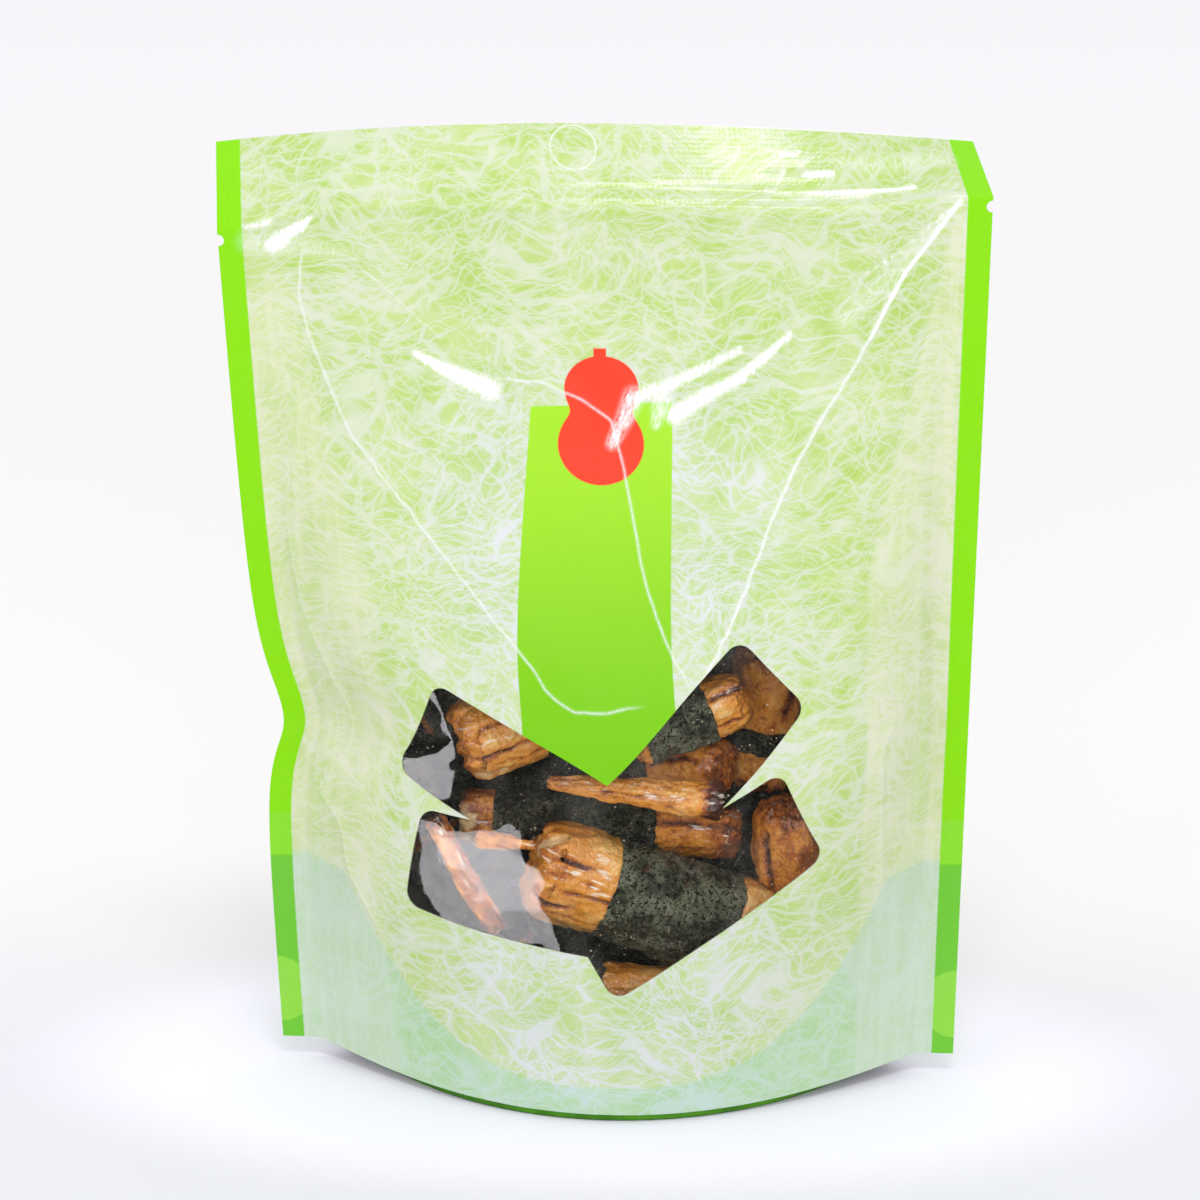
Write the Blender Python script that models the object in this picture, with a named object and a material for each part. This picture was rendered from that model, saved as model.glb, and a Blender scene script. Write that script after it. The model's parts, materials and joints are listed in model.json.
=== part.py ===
"""Stand-up zip pouch of seaweed-wrapped rice crackers.

The pouch is a flat film bag with sealed sides, a lens-shaped base and a
clear window in its front, through which the crackers show.  It is modelled
standing: the front faces -Y, the width runs along X and the height along Z.

The film is described by two flat coordinates, as on the sheet it is cut
from: s runs across the sheet from -SHEET_WIDTH / 2 to SHEET_WIDTH / 2, and t
runs up the sheet from 0 at the base to SHEET_HEIGHT at the top seal.
film_point() folds a flat point into its place on the filled pouch, so the
print, the window and the solids all follow one surface.  All lengths are
metres.
"""

import math
from collections import namedtuple

import bmesh
import bpy
from mathutils import Vector

# ---------------------------------------------------------------- the sheet
SHEET_WIDTH = 0.150
SHEET_HEIGHT = 0.196
HEADER = 0.018                      # stiff strip above the zip
BODY = SHEET_HEIGHT - HEADER
HALF_SHEET = SHEET_WIDTH / 2
SIDE_SEAL = 0.008
SEAL_THICKNESS = 0.0008
NOTCH_DROP = 0.020                  # tear notch, down from the top
NOTCH_RADIUS = 0.0012
ZIP_DROP = 0.024                    # zip ridge, down from the top
ZIP_WIDTH = 0.002
ZIP_PROUD = 0.0004

# ------------------------------------------------------------ the filled form
BELLY = 0.0330                      # half depth at the fullest height
BELLY_HEIGHT = 0.050
BASE_SHARE = 0.90                   # half depth at the base, share of BELLY
CORNER_LIFT = 0.004                 # sealed corners stand off the ground
RIM = 0.0015                        # the body's middle stands off by the rim
LEFT_FOOT = -0.0643                 # x of the side seams at the base and zip
LEFT_ZIP = -0.0737
RIGHT_FOOT = 0.0703
RIGHT_ZIP = 0.0740
LEFT_RISE = 0.1683                  # height that each seam gains up to the zip
RIGHT_RISE = 0.1741
TOP_LEFT = -0.0740                  # x of the header's top corners
TOP_RIGHT = 0.0701
TOP_LINE = 0.1919                   # height of the header's top, unleaned
TOP_DROOP_LEFT = 0.0050             # how far its corners hang below that
TOP_DROOP_RIGHT = 0.0017
TOP_LEAN = (0.008, 0.006, 0.002)    # backward lean: middle, tilt and bow
LEAN_COST = 0.30                    # height lost for each unit of lean
BASE_POWER = 2.0                    # cross-section's shape at the base
BELLY_POWER = 3.2                   # and higher up, where it is fuller
BASE_EDGE = 1.20
BELLY_EDGE = 1.05
FULL_FROM = 0.070                   # flat height of the fuller section
V_DENT = 0.0016                     # panel between the two long creases
V_APEX = (0.006, 0.082)             # flat point where the creases meet
V_LEFT = (-0.057, 0.172)
V_RIGHT = (0.066, 0.176)
V_SOFT = 0.014
KINK_HEIGHT = 0.0715                # the left seam buckles in here
KINK_BELOW = 0.009                  # how far the buckle fades, down and up
KINK_ABOVE = 0.013
KINK_DEPTH = 0.0054
KINK_LOSS = 0.0031                  # height that the buckle takes up
KINK_SPREAD = 0.0175                # over this much film, down and up
KINK_DENT = 0.0030
KINK_DENT_REACH = 0.016
KINK_DENT_IN = 0.014                # the dent's middle, in from the sheet's edge
DENT_FADE = 0.010                   # dents fade where the pouch is this thin

# ------------------------------------------------------- the pocket and window
WALL = 0.0013
POCKET_FRONT = -0.002               # where the pouch is thin, the pocket is too
POCKET_BACK = 0.0115
POCKET_SHARE = 0.86                 # of the half width between the seals
POCKET_LOW = 0.006
POCKET_HIGH = 0.128
MOUTH_DEPTH = -0.012                # the mouth is cut in as far as this plane
IN_FRONT = -0.060                   # a plane clear of the whole front
PANE = 0.0006
PANE_LOW = 0.018                    # flat bounds of the sheet that it is cut from
PANE_HIGH = 0.102
PANE_REACH = 0.051
GAP = 0.0003                        # between neighbouring solids
ROUND = 0.0036
SHARP = 0.0

# The window is four crossed bars cut from the print, as one outline on the
# flat sheet, clockwise: each corner's s, t and radius.  The bars' ends are
# rounded, and the corners where two bars meet are sharp.
WINDOW = (
    (-0.0347, 0.0871, ROUND),
    (-0.0008, 0.0688, SHARP),
    (0.0278, 0.0965, ROUND),
    (0.0407, 0.0826, ROUND),
    (0.0238, 0.0643, SHARP),
    (0.0352, 0.0707, ROUND),
    (0.0457, 0.0523, ROUND),
    (0.0021, 0.0247, ROUND),
    (-0.0034, 0.0345, SHARP),
    (-0.0420, 0.0403, ROUND),
    (-0.0392, 0.0613, ROUND),
    (-0.0288, 0.0606, SHARP),
    (-0.0474, 0.0665, ROUND),
)
ARC_STEPS = 3
EDGE_STEP = 0.012                   # longest straight run along the outline

# --------------------------------------------------------------- the crackers
# A cracker runs between two ends.  The band is the stretch of nori along it,
# as shares of its length, or None where the piece is bare.
Cracker = namedtuple("Cracker", "name start end radius band")
CRACKERS = (
    Cracker("upper_left", (-0.0260, -0.0165, 0.0730), (0.0030, -0.0080, 0.0810), 0.0086, (0.48, 0.93)),
    Cracker("middle_right", (0.0245, -0.0118, 0.0675), (0.0020, -0.0020, 0.0665), 0.0062, (0.55, 0.93)),
    Cracker("splinter", (-0.0065, -0.0255, 0.0670), (0.0247, -0.0255, 0.0650), 0.0026, None),
    Cracker("upper_right", (0.0282, -0.0155, 0.0833), (0.0075, -0.0210, 0.0755), 0.0060, (0.32, 0.93)),
    Cracker("tall_right", (0.0326, -0.0018, 0.0832), (0.0306, 0.0022, 0.0615), 0.0076, (0.30, 0.62)),
    Cracker("long_middle", (-0.0251, -0.0090, 0.0568), (0.0275, -0.0087, 0.0540), 0.0058, (0.07, 0.71)),
    Cracker("chip", (-0.0245, -0.0215, 0.0560), (-0.0130, -0.0270, 0.0563), 0.0020, None),
    Cracker("large_front", (-0.0112, -0.0208, 0.0463), (0.0387, -0.0112, 0.0306), 0.0094, (0.27, 0.80)),
    Cracker("right_end", (0.0373, -0.0175, 0.0537), (0.0450, -0.0048, 0.0449), 0.0070, None),
    Cracker("sliver", (-0.0308, -0.0232, 0.0597), (-0.0183, -0.0268, 0.0376), 0.0020, None),
    Cracker("far_left", (-0.0357, -0.0021, 0.0736), (-0.0228, 0.0014, 0.0797), 0.0075, (0.12, 0.88)),
    Cracker("low_left", (-0.0339, -0.0020, 0.0482), (-0.0181, -0.0088, 0.0259), 0.0080, (0.10, 0.90)),
    Cracker("low_front", (-0.0053, -0.0168, 0.0195), (0.0308, -0.0165, 0.0172), 0.0061, (0.04, 0.30)),
)
NORI = 0.0004
CRACKER_SIDES = 14
END_ROUND = 0.30                    # of the radius
END_NARROW = (0.72, 0.70)           # radius of the two end faces, as a share

# ----------------------------------------------------------- mesh fineness
COLUMNS = 22
ROWS = 22
HEADER_ROWS = (0.35, 0.70, 1.0)
POCKET_COLUMNS = 14
POCKET_ROWS = 16
PANE_STEPS = 18
GUSSET_REACH = 0.050
GUSSET_COLUMNS = 26
NOTCH_SIDES = 12
SHARP_ANGLE = 35.0                  # degrees: the film's edges stay crisp
STICK_ANGLE = 40.0

COLOURS = {
    "film": ((0.54, 0.80, 0.36, 1.0), 0.25),
    "gusset": ((0.07, 0.26, 0.03, 1.0), 0.30),
    "pane": ((0.80, 0.84, 0.86, 1.0), 0.10),
    "cracker": ((0.48, 0.20, 0.05, 1.0), 0.45),
    "nori": ((0.012, 0.020, 0.012, 1.0), 0.55),
}


# -------------------------------------------------------------- small helpers
def clamp(value, low=0.0, high=1.0):
    return max(low, min(high, value))


def smooth(start, stop, value):
    share = clamp((value - start) / (stop - start))
    return share * share * (3 - 2 * share)


def mix(first, second, share):
    return first + (second - first) * share


# ------------------------------------------------------------ the film surface
def middle_depth(t):
    """Half depth of the pouch on its centre line, at flat height t."""
    if t < BELLY_HEIGHT:
        return BELLY * mix(BASE_SHARE, 1.0, math.sin(math.pi * t / (2 * BELLY_HEIGHT)))
    share = clamp((t - BELLY_HEIGHT) / (BODY - BELLY_HEIGHT))
    return BELLY * math.cos(math.pi / 2 * share) ** 2


def rising_heights(steps=180):
    """Height of the centre line above the rim at each of steps flat heights.

    The film does not stretch, so where it leans it gains less height.
    """
    step = BODY / steps
    heights = [RIM]
    for index in range(steps):
        lean = middle_depth((index + 1) * step) - middle_depth(index * step)
        heights.append(heights[-1] + math.sqrt(max(step * step - lean * lean, 0.0)))
    return heights


CENTRE_HEIGHTS = rising_heights()


def middle_height(t):
    place = clamp(t / BODY) * (len(CENTRE_HEIGHTS) - 1)
    index = min(int(place), len(CENTRE_HEIGHTS) - 2)
    return mix(CENTRE_HEIGHTS[index], CENTRE_HEIGHTS[index + 1], place - index)


def left_seam(t):
    """Outer edge of the left seal at flat height t: it buckles in at the kink."""
    share = clamp(t / BODY)
    lost = KINK_LOSS * smooth(KINK_HEIGHT - KINK_SPREAD, KINK_HEIGHT + KINK_SPREAD, t)
    height = CORNER_LIFT + LEFT_RISE * share - lost
    fade = KINK_ABOVE if height > KINK_HEIGHT else KINK_BELOW
    buckle = KINK_DEPTH / (1 + ((height - KINK_HEIGHT) / fade) ** 2)
    return Vector((mix(LEFT_FOOT, LEFT_ZIP, share) + buckle, 0.0, height))


def right_seam(t):
    """Outer edge of the right seal at flat height t: nearly straight."""
    share = clamp(t / BODY)
    return Vector((mix(RIGHT_FOOT, RIGHT_ZIP, share), 0.0, CORNER_LIFT + RIGHT_RISE * share))


def top_edge(share):
    """Point on the top of the header, share 0 at the left to 1 at the right."""
    middle, tilt, bow = TOP_LEAN
    u = 2 * share - 1
    back = middle + tilt * u + bow * u * u
    crest = 0.1
    if u < crest:
        droop = TOP_DROOP_LEFT * ((crest - u) / (1 + crest)) ** 2
    else:
        droop = TOP_DROOP_RIGHT * ((u - crest) / (1 - crest)) ** 2
    return Vector((mix(TOP_LEFT, TOP_RIGHT, share), back, TOP_LINE - droop - LEAN_COST * back))


def fullness(w, t):
    """Share of the middle's half depth at w, -1 to 1 between the side seals."""
    fuller = smooth(0.0, FULL_FROM, t)
    power = mix(BASE_POWER, BELLY_POWER, fuller)
    return max(1 - abs(w) ** power, 0.0) ** mix(BASE_EDGE, BELLY_EDGE, fuller)


def side_of_line(point, start, end):
    """Distance of a flat point from a line, positive on its right-hand side."""
    run = (end[0] - start[0], end[1] - start[1])
    length = math.hypot(*run)
    return ((point[0] - start[0]) * run[1] - (point[1] - start[1]) * run[0]) / length


def dent(s, t):
    """How far the front film lies in from its full form."""
    inside = min(side_of_line((s, t), V_APEX, V_LEFT), -side_of_line((s, t), V_APEX, V_RIGHT))
    panel = V_DENT * smooth(0.0, V_SOFT, inside) * smooth(BODY, BODY - 0.03, t)
    away = math.hypot(s + HALF_SHEET - KINK_DENT_IN, t - KINK_HEIGHT)
    return panel + KINK_DENT * math.exp(-((away / KINK_DENT_REACH) ** 2))


def film_point(s, t, side=-1):
    """Place of the flat point (s, t) on the front (side -1) or back (side 1)."""
    share = s / SHEET_WIDTH + 0.5
    w = clamp(s / (HALF_SHEET - SIDE_SEAL), -1.0, 1.0)
    left, right = left_seam(t), right_seam(t)
    seam_height = mix(left.z, right.z, share)
    rise = 1 - w ** 4
    depth = middle_depth(min(t, BODY)) * fullness(w, t)
    if side < 0 and depth > 0:
        depth = max(depth - dent(s, t) * smooth(0.0, DENT_FADE, depth), 0.0)
    place = Vector((mix(left.x, right.x, share), side * depth, mix(seam_height, middle_height(t), rise)))
    if t > BODY:
        place = place.lerp(top_edge(share), (t - BODY) / HEADER)
    return place


# --------------------------------------------------------------- mesh helpers
def new_object(name, bm, finish, smooth_angle=None):
    """Turn bm into an object with its material, faces pointing out."""
    bmesh.ops.recalc_face_normals(bm, faces=bm.faces)
    mesh = bpy.data.meshes.new(name)
    bm.to_mesh(mesh)
    bm.free()
    if smooth_angle is not None:
        mesh.shade_smooth()
        mesh.set_sharp_from_angle(angle=math.radians(smooth_angle))
    thing = bpy.data.objects.new(name, mesh)
    bpy.context.collection.objects.link(thing)
    if finish is not None:
        mesh.materials.append(material(finish))
    return thing


def material(finish):
    found = bpy.data.materials.get(finish)
    if found:
        return found
    colour, roughness = COLOURS[finish]
    made = bpy.data.materials.new(finish)
    made.use_nodes = True
    shader = made.node_tree.nodes["Principled BSDF"]
    shader.inputs["Base Color"].default_value = colour
    shader.inputs["Roughness"].default_value = roughness
    shader.inputs["Metallic"].default_value = 0.0
    return made


def closed_lattice(front_rows, back_rows):
    """Closed body between two lattices of points with equal rows and columns."""
    bm = bmesh.new()
    front = [[bm.verts.new(point) for point in row] for row in front_rows]
    back = [[bm.verts.new(point) for point in row] for row in back_rows]
    rows, columns = len(front), len(front[0])
    for lattice in (front, back):
        for row in range(rows - 1):
            for column in range(columns - 1):
                bm.faces.new((
                    lattice[row][column], lattice[row][column + 1],
                    lattice[row + 1][column + 1], lattice[row + 1][column],
                ))
    border = [(0, column) for column in range(columns)]
    border += [(row, columns - 1) for row in range(1, rows)]
    border += [(rows - 1, column) for column in range(columns - 2, -1, -1)]
    border += [(row, 0) for row in range(rows - 2, 0, -1)]
    for here, after in zip(border, border[1:] + border[:1]):
        bm.faces.new((
            front[here[0]][here[1]], front[after[0]][after[1]],
            back[after[0]][after[1]], back[here[0]][here[1]],
        ))
    bmesh.ops.triangulate(bm, faces=bm.faces)
    return bm


def bridge(bm, first, second):
    """Faces between two closed rings with equal numbers of vertices."""
    count = len(first)
    for index in range(count):
        after = (index + 1) % count
        bm.faces.new((first[index], first[after], second[after], second[index]))


def apply_modifiers(thing):
    """Bake an object's modifiers into its mesh."""
    evaluated = thing.evaluated_get(bpy.context.evaluated_depsgraph_get())
    thing.data = bpy.data.meshes.new_from_object(evaluated)
    thing.modifiers.clear()


def cut(thing, cutter, operation="DIFFERENCE"):
    """Cut one object by another, or keep only what the two share."""
    modifier = thing.modifiers.new(operation.lower(), "BOOLEAN")
    modifier.operation = operation
    modifier.object = cutter
    modifier.solver = "EXACT"
    apply_modifiers(thing)


def discard(thing):
    bpy.data.objects.remove(thing, do_unlink=True)


# ----------------------------------------------------------------- the window
def inward(start, end):
    """Unit normal of an edge, to the right of its run: into the window."""
    run = Vector((end[0] - start[0], end[1] - start[1])).normalized()
    return Vector((run.y, -run.x))


def drawn_in(corners, shrink):
    """The outline's corners, moved in so that each edge lies shrink further in."""
    moved = []
    for index, (s, t, radius) in enumerate(corners):
        before, after = corners[index - 1], corners[(index + 1) % len(corners)]
        first, second = inward(before, (s, t)), inward((s, t), after)
        move = (first + second) * (shrink / (1 + first.dot(second)))
        turns_in = first.x * second.y - first.y * second.x > 0
        smaller = radius + shrink if turns_in else radius - shrink
        moved.append((s + move.x, t + move.y, max(smaller, 0.0) if radius else 0.0))
    return moved


def rounded(corners):
    """Points of an outline with each corner replaced by its arc."""
    points = []
    for index, (s, t, radius) in enumerate(corners):
        here = Vector((s, t))
        before = Vector(corners[index - 1][:2]) - here
        after = Vector(corners[(index + 1) % len(corners)][:2]) - here
        if radius == 0:
            points.append(here)
            continue
        half = before.angle(after) / 2
        toward = (before.normalized() + after.normalized()).normalized()
        centre = here + toward * (radius / math.sin(half))
        first = here + before.normalized() * (radius / math.tan(half)) - centre
        last = here + after.normalized() * (radius / math.tan(half)) - centre
        sweep = first.angle_signed(last)
        for step in range(ARC_STEPS + 1):
            angle = -sweep * step / ARC_STEPS
            turned = Vector((
                first.x * math.cos(angle) - first.y * math.sin(angle),
                first.x * math.sin(angle) + first.y * math.cos(angle),
            ))
            points.append(centre + turned)
    return points


def divided(points, longest):
    """The outline with its long edges split, so that it can follow the film."""
    result = []
    for index, point in enumerate(points):
        after = points[(index + 1) % len(points)]
        count = max(math.ceil((after - point).length / longest), 1)
        result += [point.lerp(after, step / count) for step in range(count)]
    return result


def window_cutter(name, shrink, back):
    """Prism along Y over the window's outline, as it lies on the folded film."""
    outline = divided(rounded(drawn_in(WINDOW, shrink)), EDGE_STEP)
    places = [film_point(point.x, point.y) for point in outline]
    bm = bmesh.new()
    near = [bm.verts.new((place.x, IN_FRONT, place.z)) for place in places]
    far = [bm.verts.new((place.x, back, place.z)) for place in places]
    bm.faces.new(near)
    bm.faces.new(far)
    bridge(bm, near, far)
    bmesh.ops.triangulate(bm, faces=bm.faces)
    return new_object(name, bm, None)


# ------------------------------------------------------------- the pouch body
def column_places():
    """Flat s of each column: the side seals, then even steps between them."""
    inner = HALF_SHEET - SIDE_SEAL
    between = [mix(-inner, inner, index / COLUMNS) for index in range(COLUMNS + 1)]
    return [-HALF_SHEET] + between + [HALF_SHEET]


def row_places():
    """Flat t of each row: closer where the film bends, with the zip's ridge."""
    ridge = SHEET_HEIGHT - ZIP_DROP
    rows = [(ridge - ZIP_WIDTH / 2) * index / ROWS for index in range(ROWS + 1)]
    rows += [ridge, ridge + ZIP_WIDTH, ridge + 1.5 * ZIP_WIDTH, BODY]
    rows += [BODY + HEADER * share for share in HEADER_ROWS]
    return rows


def film_lattice(side, lift):
    """Rows of film points, each moved out by lift along Y."""
    ridge = SHEET_HEIGHT - ZIP_DROP
    rows = []
    for t in row_places():
        on_ridge = ridge - ZIP_WIDTH / 4 < t < ridge + 1.25 * ZIP_WIDTH
        zip_rise = ZIP_PROUD if on_ridge else 0.0
        row = []
        for s in column_places():
            place = film_point(s, t, side)
            inside = abs(s) < HALF_SHEET - SIDE_SEAL / 2
            place.y += side * (lift + (zip_rise if inside else 0.0))
            row.append(place)
        rows.append(row)
    return rows


def pocket_lattice():
    """Front and back of the pocket behind the window."""
    reach = (HALF_SHEET - SIDE_SEAL) * POCKET_SHARE
    front, back = [], []
    for row in range(POCKET_ROWS + 1):
        t = mix(POCKET_LOW, POCKET_HIGH, row / POCKET_ROWS)
        near, far = [], []
        for column in range(POCKET_COLUMNS + 1):
            s = mix(-reach, reach, column / POCKET_COLUMNS)
            place = film_point(s, t)
            place.y = min(place.y + WALL, POCKET_FRONT)
            near.append(place)
            behind = film_point(s, t, 1).y - WALL
            far.append(Vector((place.x, clamp(behind, -POCKET_FRONT, POCKET_BACK), place.z)))
        front.append(near)
        back.append(far)
    return front, back


def make_pouch():
    """Body of the pouch, with the pocket, the window's mouth and the notches."""
    half_seal = SEAL_THICKNESS / 2
    pouch = new_object(
        "pouch", closed_lattice(film_lattice(-1, half_seal), film_lattice(1, half_seal)), "film",
    )
    pocket = new_object("pocket", closed_lattice(*pocket_lattice()), None)
    cut(pouch, pocket)
    discard(pocket)
    mouth = window_cutter("mouth", 0.0, MOUTH_DEPTH)
    cut(pouch, mouth)
    discard(mouth)
    for side in (-1, 1):
        notch = make_notch(side)
        cut(pouch, notch)
        discard(notch)
    pouch.data.shade_smooth()
    pouch.data.set_sharp_from_angle(angle=math.radians(SHARP_ANGLE))
    return pouch


def make_notch(side):
    """Small half-round tear notch through a side seal."""
    place = film_point(side * HALF_SHEET, SHEET_HEIGHT - NOTCH_DROP)
    bm = bmesh.new()
    bmesh.ops.create_cone(
        bm, cap_ends=True, segments=NOTCH_SIDES,
        radius1=NOTCH_RADIUS, radius2=NOTCH_RADIUS, depth=2 * SIDE_SEAL,
    )
    for vertex in bm.verts:
        vertex.co = (vertex.co.x + place.x, vertex.co.z + place.y, vertex.co.y + place.z)
    return new_object("notch", bm, None)


def make_pane():
    """Clear film that closes the window, set flush in its mouth."""
    skin, under = [], []
    for row in range(PANE_STEPS + 1):
        t = mix(PANE_LOW, PANE_HIGH, row / PANE_STEPS)
        outer, inner = [], []
        for column in range(PANE_STEPS + 1):
            place = film_point(mix(-PANE_REACH, PANE_REACH, column / PANE_STEPS), t)
            place.y -= SEAL_THICKNESS / 2
            outer.append(place)
            inner.append(place + Vector((0, PANE, 0)))
        skin.append(outer)
        under.append(inner)
    pane = new_object("window_pane", closed_lattice(skin, under), "pane")
    edge = window_cutter("pane_edge", GAP, 0.0)
    cut(pane, edge, "INTERSECT")
    discard(edge)
    pane.data.shade_smooth()
    pane.data.set_sharp_from_angle(angle=math.radians(SHARP_ANGLE))
    return pane


def make_gusset():
    """Lens-shaped base film, whose rim shows below the printed panels."""
    bm = bmesh.new()
    rings = []
    for z in (0.0, RIM - GAP):
        ring = []
        for side in (-1, 1):
            for step in range(GUSSET_COLUMNS):
                s = side * mix(GUSSET_REACH, -GUSSET_REACH, step / GUSSET_COLUMNS)
                place = film_point(s, 0.0, side)
                closing = math.sqrt(max(1 - (s / GUSSET_REACH) ** 6, 0.0))
                ring.append(bm.verts.new((place.x, place.y * closing, z)))
        rings.append(ring)
    low, high = rings
    bm.faces.new(low)
    bm.faces.new(high)
    bridge(bm, low, high)
    return new_object("gusset", bm, "gusset")


# --------------------------------------------------------------- the crackers
def cracker_frame(cracker):
    """Start point, axis and two square directions of a cracker."""
    start, end = Vector(cracker.start), Vector(cracker.end)
    axis = (end - start).normalized()
    across = axis.cross(Vector((0, 0, 1))).normalized()
    return start, end, axis, across, across.cross(axis)


def cracker_radius(cracker, share, angle):
    """Uneven round section: it swells and leans a little along its length."""
    swell = 1 - 0.05 * math.cos(math.pi * 2 * share) - 0.03 * math.sin(angle * 3 + share * 4)
    return cracker.radius * swell * (0.93 + 0.04 * math.cos(2 * angle + 1.0))


def cracker_ring(bm, cracker, share, narrow, offset):
    """Ring of vertices around a cracker at a share of its length."""
    start, end, axis, across, up = cracker_frame(cracker)
    middle = start.lerp(end, share)
    ring = []
    for index in range(CRACKER_SIDES):
        angle = 2 * math.pi * index / CRACKER_SIDES
        radius = cracker_radius(cracker, share, angle) * narrow + offset
        direction = across * math.cos(angle) + up * math.sin(angle)
        ring.append(bm.verts.new(middle + direction * radius))
    return ring


def make_cracker(cracker):
    """Baked stick of puffed rice with rounded, uneven ends."""
    length = (Vector(cracker.end) - Vector(cracker.start)).length
    step = END_ROUND * cracker.radius / length
    inset = -(NORI + GAP) if cracker.band else 0.0
    bm = bmesh.new()
    places = [(0.0, END_NARROW[0]), (step, 1.0)]
    places += [(share, 1.0) for share in (0.28, 0.50, 0.72)]
    places += [(1 - step, 1.0), (1.0, END_NARROW[1])]
    rings = [cracker_ring(bm, cracker, share, narrow, inset) for share, narrow in places]
    for first, second in zip(rings, rings[1:]):
        bridge(bm, first, second)
    bm.faces.new(rings[0])
    bm.faces.new(rings[-1])
    bmesh.ops.triangulate(bm, faces=bm.faces)
    return new_object("cracker_" + cracker.name, bm, "cracker", STICK_ANGLE)


def make_nori(cracker):
    """Band of dried seaweed wrapped round a cracker."""
    bm = bmesh.new()
    low, high = cracker.band
    shares = (low, (low + high) / 2, high)
    inner = [cracker_ring(bm, cracker, share, 1.0, -NORI) for share in shares]
    outer = [cracker_ring(bm, cracker, share, 1.0, 0.0) for share in shares]
    for rings in (inner, outer):
        for first, second in zip(rings, rings[1:]):
            bridge(bm, first, second)
    bridge(bm, inner[0], outer[0])
    bridge(bm, inner[-1], outer[-1])
    bmesh.ops.triangulate(bm, faces=bm.faces)
    return new_object("nori_" + cracker.name, bm, "nori", STICK_ANGLE)


def main():
    for thing in list(bpy.data.objects):
        bpy.data.objects.remove(thing, do_unlink=True)
    make_pouch()
    make_pane()
    make_gusset()
    for cracker in CRACKERS:
        make_cracker(cracker)
        if cracker.band:
            make_nori(cracker)


main()
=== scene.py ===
"""Dress a stand-up pouch of seaweed-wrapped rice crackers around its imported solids.

The pouch is one printed film, folded from flat coordinates: s runs across the
sheet and t up the sheet, both in metres, with (0, 0) at the middle of the base
edge.  Sheet.fold() puts a flat point on the filled pouch.  The printed panels,
the clear window, the creases and the print all follow those coordinates.
"""

import json
import logging
import math
from collections.abc import Callable, Iterable, Sequence
from dataclasses import dataclass, field
from enum import Enum

import bpy
import numpy as np
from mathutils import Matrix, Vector, geometry

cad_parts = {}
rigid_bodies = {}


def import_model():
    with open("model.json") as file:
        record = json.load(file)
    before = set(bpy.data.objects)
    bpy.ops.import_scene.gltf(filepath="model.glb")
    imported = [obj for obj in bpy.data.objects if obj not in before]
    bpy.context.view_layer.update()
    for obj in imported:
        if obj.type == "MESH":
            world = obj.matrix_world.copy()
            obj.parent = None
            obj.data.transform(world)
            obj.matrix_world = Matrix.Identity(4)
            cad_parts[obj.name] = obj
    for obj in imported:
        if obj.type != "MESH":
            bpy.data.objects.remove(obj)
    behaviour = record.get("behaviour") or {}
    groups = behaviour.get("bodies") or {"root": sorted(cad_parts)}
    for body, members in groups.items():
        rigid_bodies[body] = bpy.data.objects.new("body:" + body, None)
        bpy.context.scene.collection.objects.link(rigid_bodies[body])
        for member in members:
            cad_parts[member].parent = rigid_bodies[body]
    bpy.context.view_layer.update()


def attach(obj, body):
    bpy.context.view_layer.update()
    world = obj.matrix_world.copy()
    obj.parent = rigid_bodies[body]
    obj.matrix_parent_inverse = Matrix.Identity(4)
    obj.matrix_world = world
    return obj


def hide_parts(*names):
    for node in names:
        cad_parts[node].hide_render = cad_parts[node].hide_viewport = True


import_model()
LOG = logging.getLogger("pouch")
MM = 0.001
ROOT = "root"
PRINT_MAP = "OFBake"
PRINT_SPAN = 0.200                      # the flat length that the print map's 0 to 1 covers
Colour = tuple[float, float, float]
Path = tuple[tuple[float, float], ...]


# ------------------------------------------------------------------ numbers
def smooth(start: float, stop: float, value: np.ndarray) -> np.ndarray:
    """Ease from 0 at start to 1 at stop."""
    share = np.clip((value - start) / (stop - start), 0.0, 1.0)
    return share * share * (3 - 2 * share)


def mix(first, second, share):
    """Blend from first to second."""
    return first + (second - first) * share


def linear(red: int, green: int, blue: int) -> Colour:
    """Scene-linear colour from its everyday 0 to 255 values."""
    return tuple(
        part / 12.92 if part <= 0.04045 else ((part + 0.055) / 1.055) ** 2.4
        for part in (red / 255, green / 255, blue / 255)
    )


class Noise:
    """Seeded gradient noise over points in space, about -1 to 1."""

    def __init__(self, seed: int) -> None:
        """Draw the lattice's order and slopes.

        Args:
            seed: chooses the pattern.
        """
        maker = np.random.default_rng(seed)
        self.order = maker.permutation(256)
        slopes = maker.normal(size=(256, 3))
        self.slopes = slopes / np.linalg.norm(slopes, axis=1, keepdims=True)

    def at(self, points: np.ndarray) -> np.ndarray:
        """Noise at each point.

        Args:
            points: one row of three coordinates for each point, in cells.

        Returns:
            One value for each point.
        """
        cell = np.floor(points).astype(np.int64)
        inside = points - cell
        fade = inside ** 3 * (inside * (inside * 6 - 15) + 10)
        total = np.zeros(len(points))
        for corner in np.ndindex(2, 2, 2):
            step = np.array(corner)
            place = (cell + step) & 255
            index = self.order[(self.order[(self.order[place[:, 0]] + place[:, 1]) & 255] + place[:, 2]) & 255]
            weight = np.prod(np.where(step == 1, fade, 1 - fade), axis=1)
            total += weight * np.einsum("ij,ij->i", self.slopes[index], inside - step)
        return total * 1.6

    def layered(self, points: np.ndarray, octaves: int = 3, gain: float = 0.5) -> np.ndarray:
        """Sum of octaves, each twice as fine and gain times as strong."""
        return sum(gain ** step * self.at(points * 2 ** step + 17.3 * step) for step in range(octaves))


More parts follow.
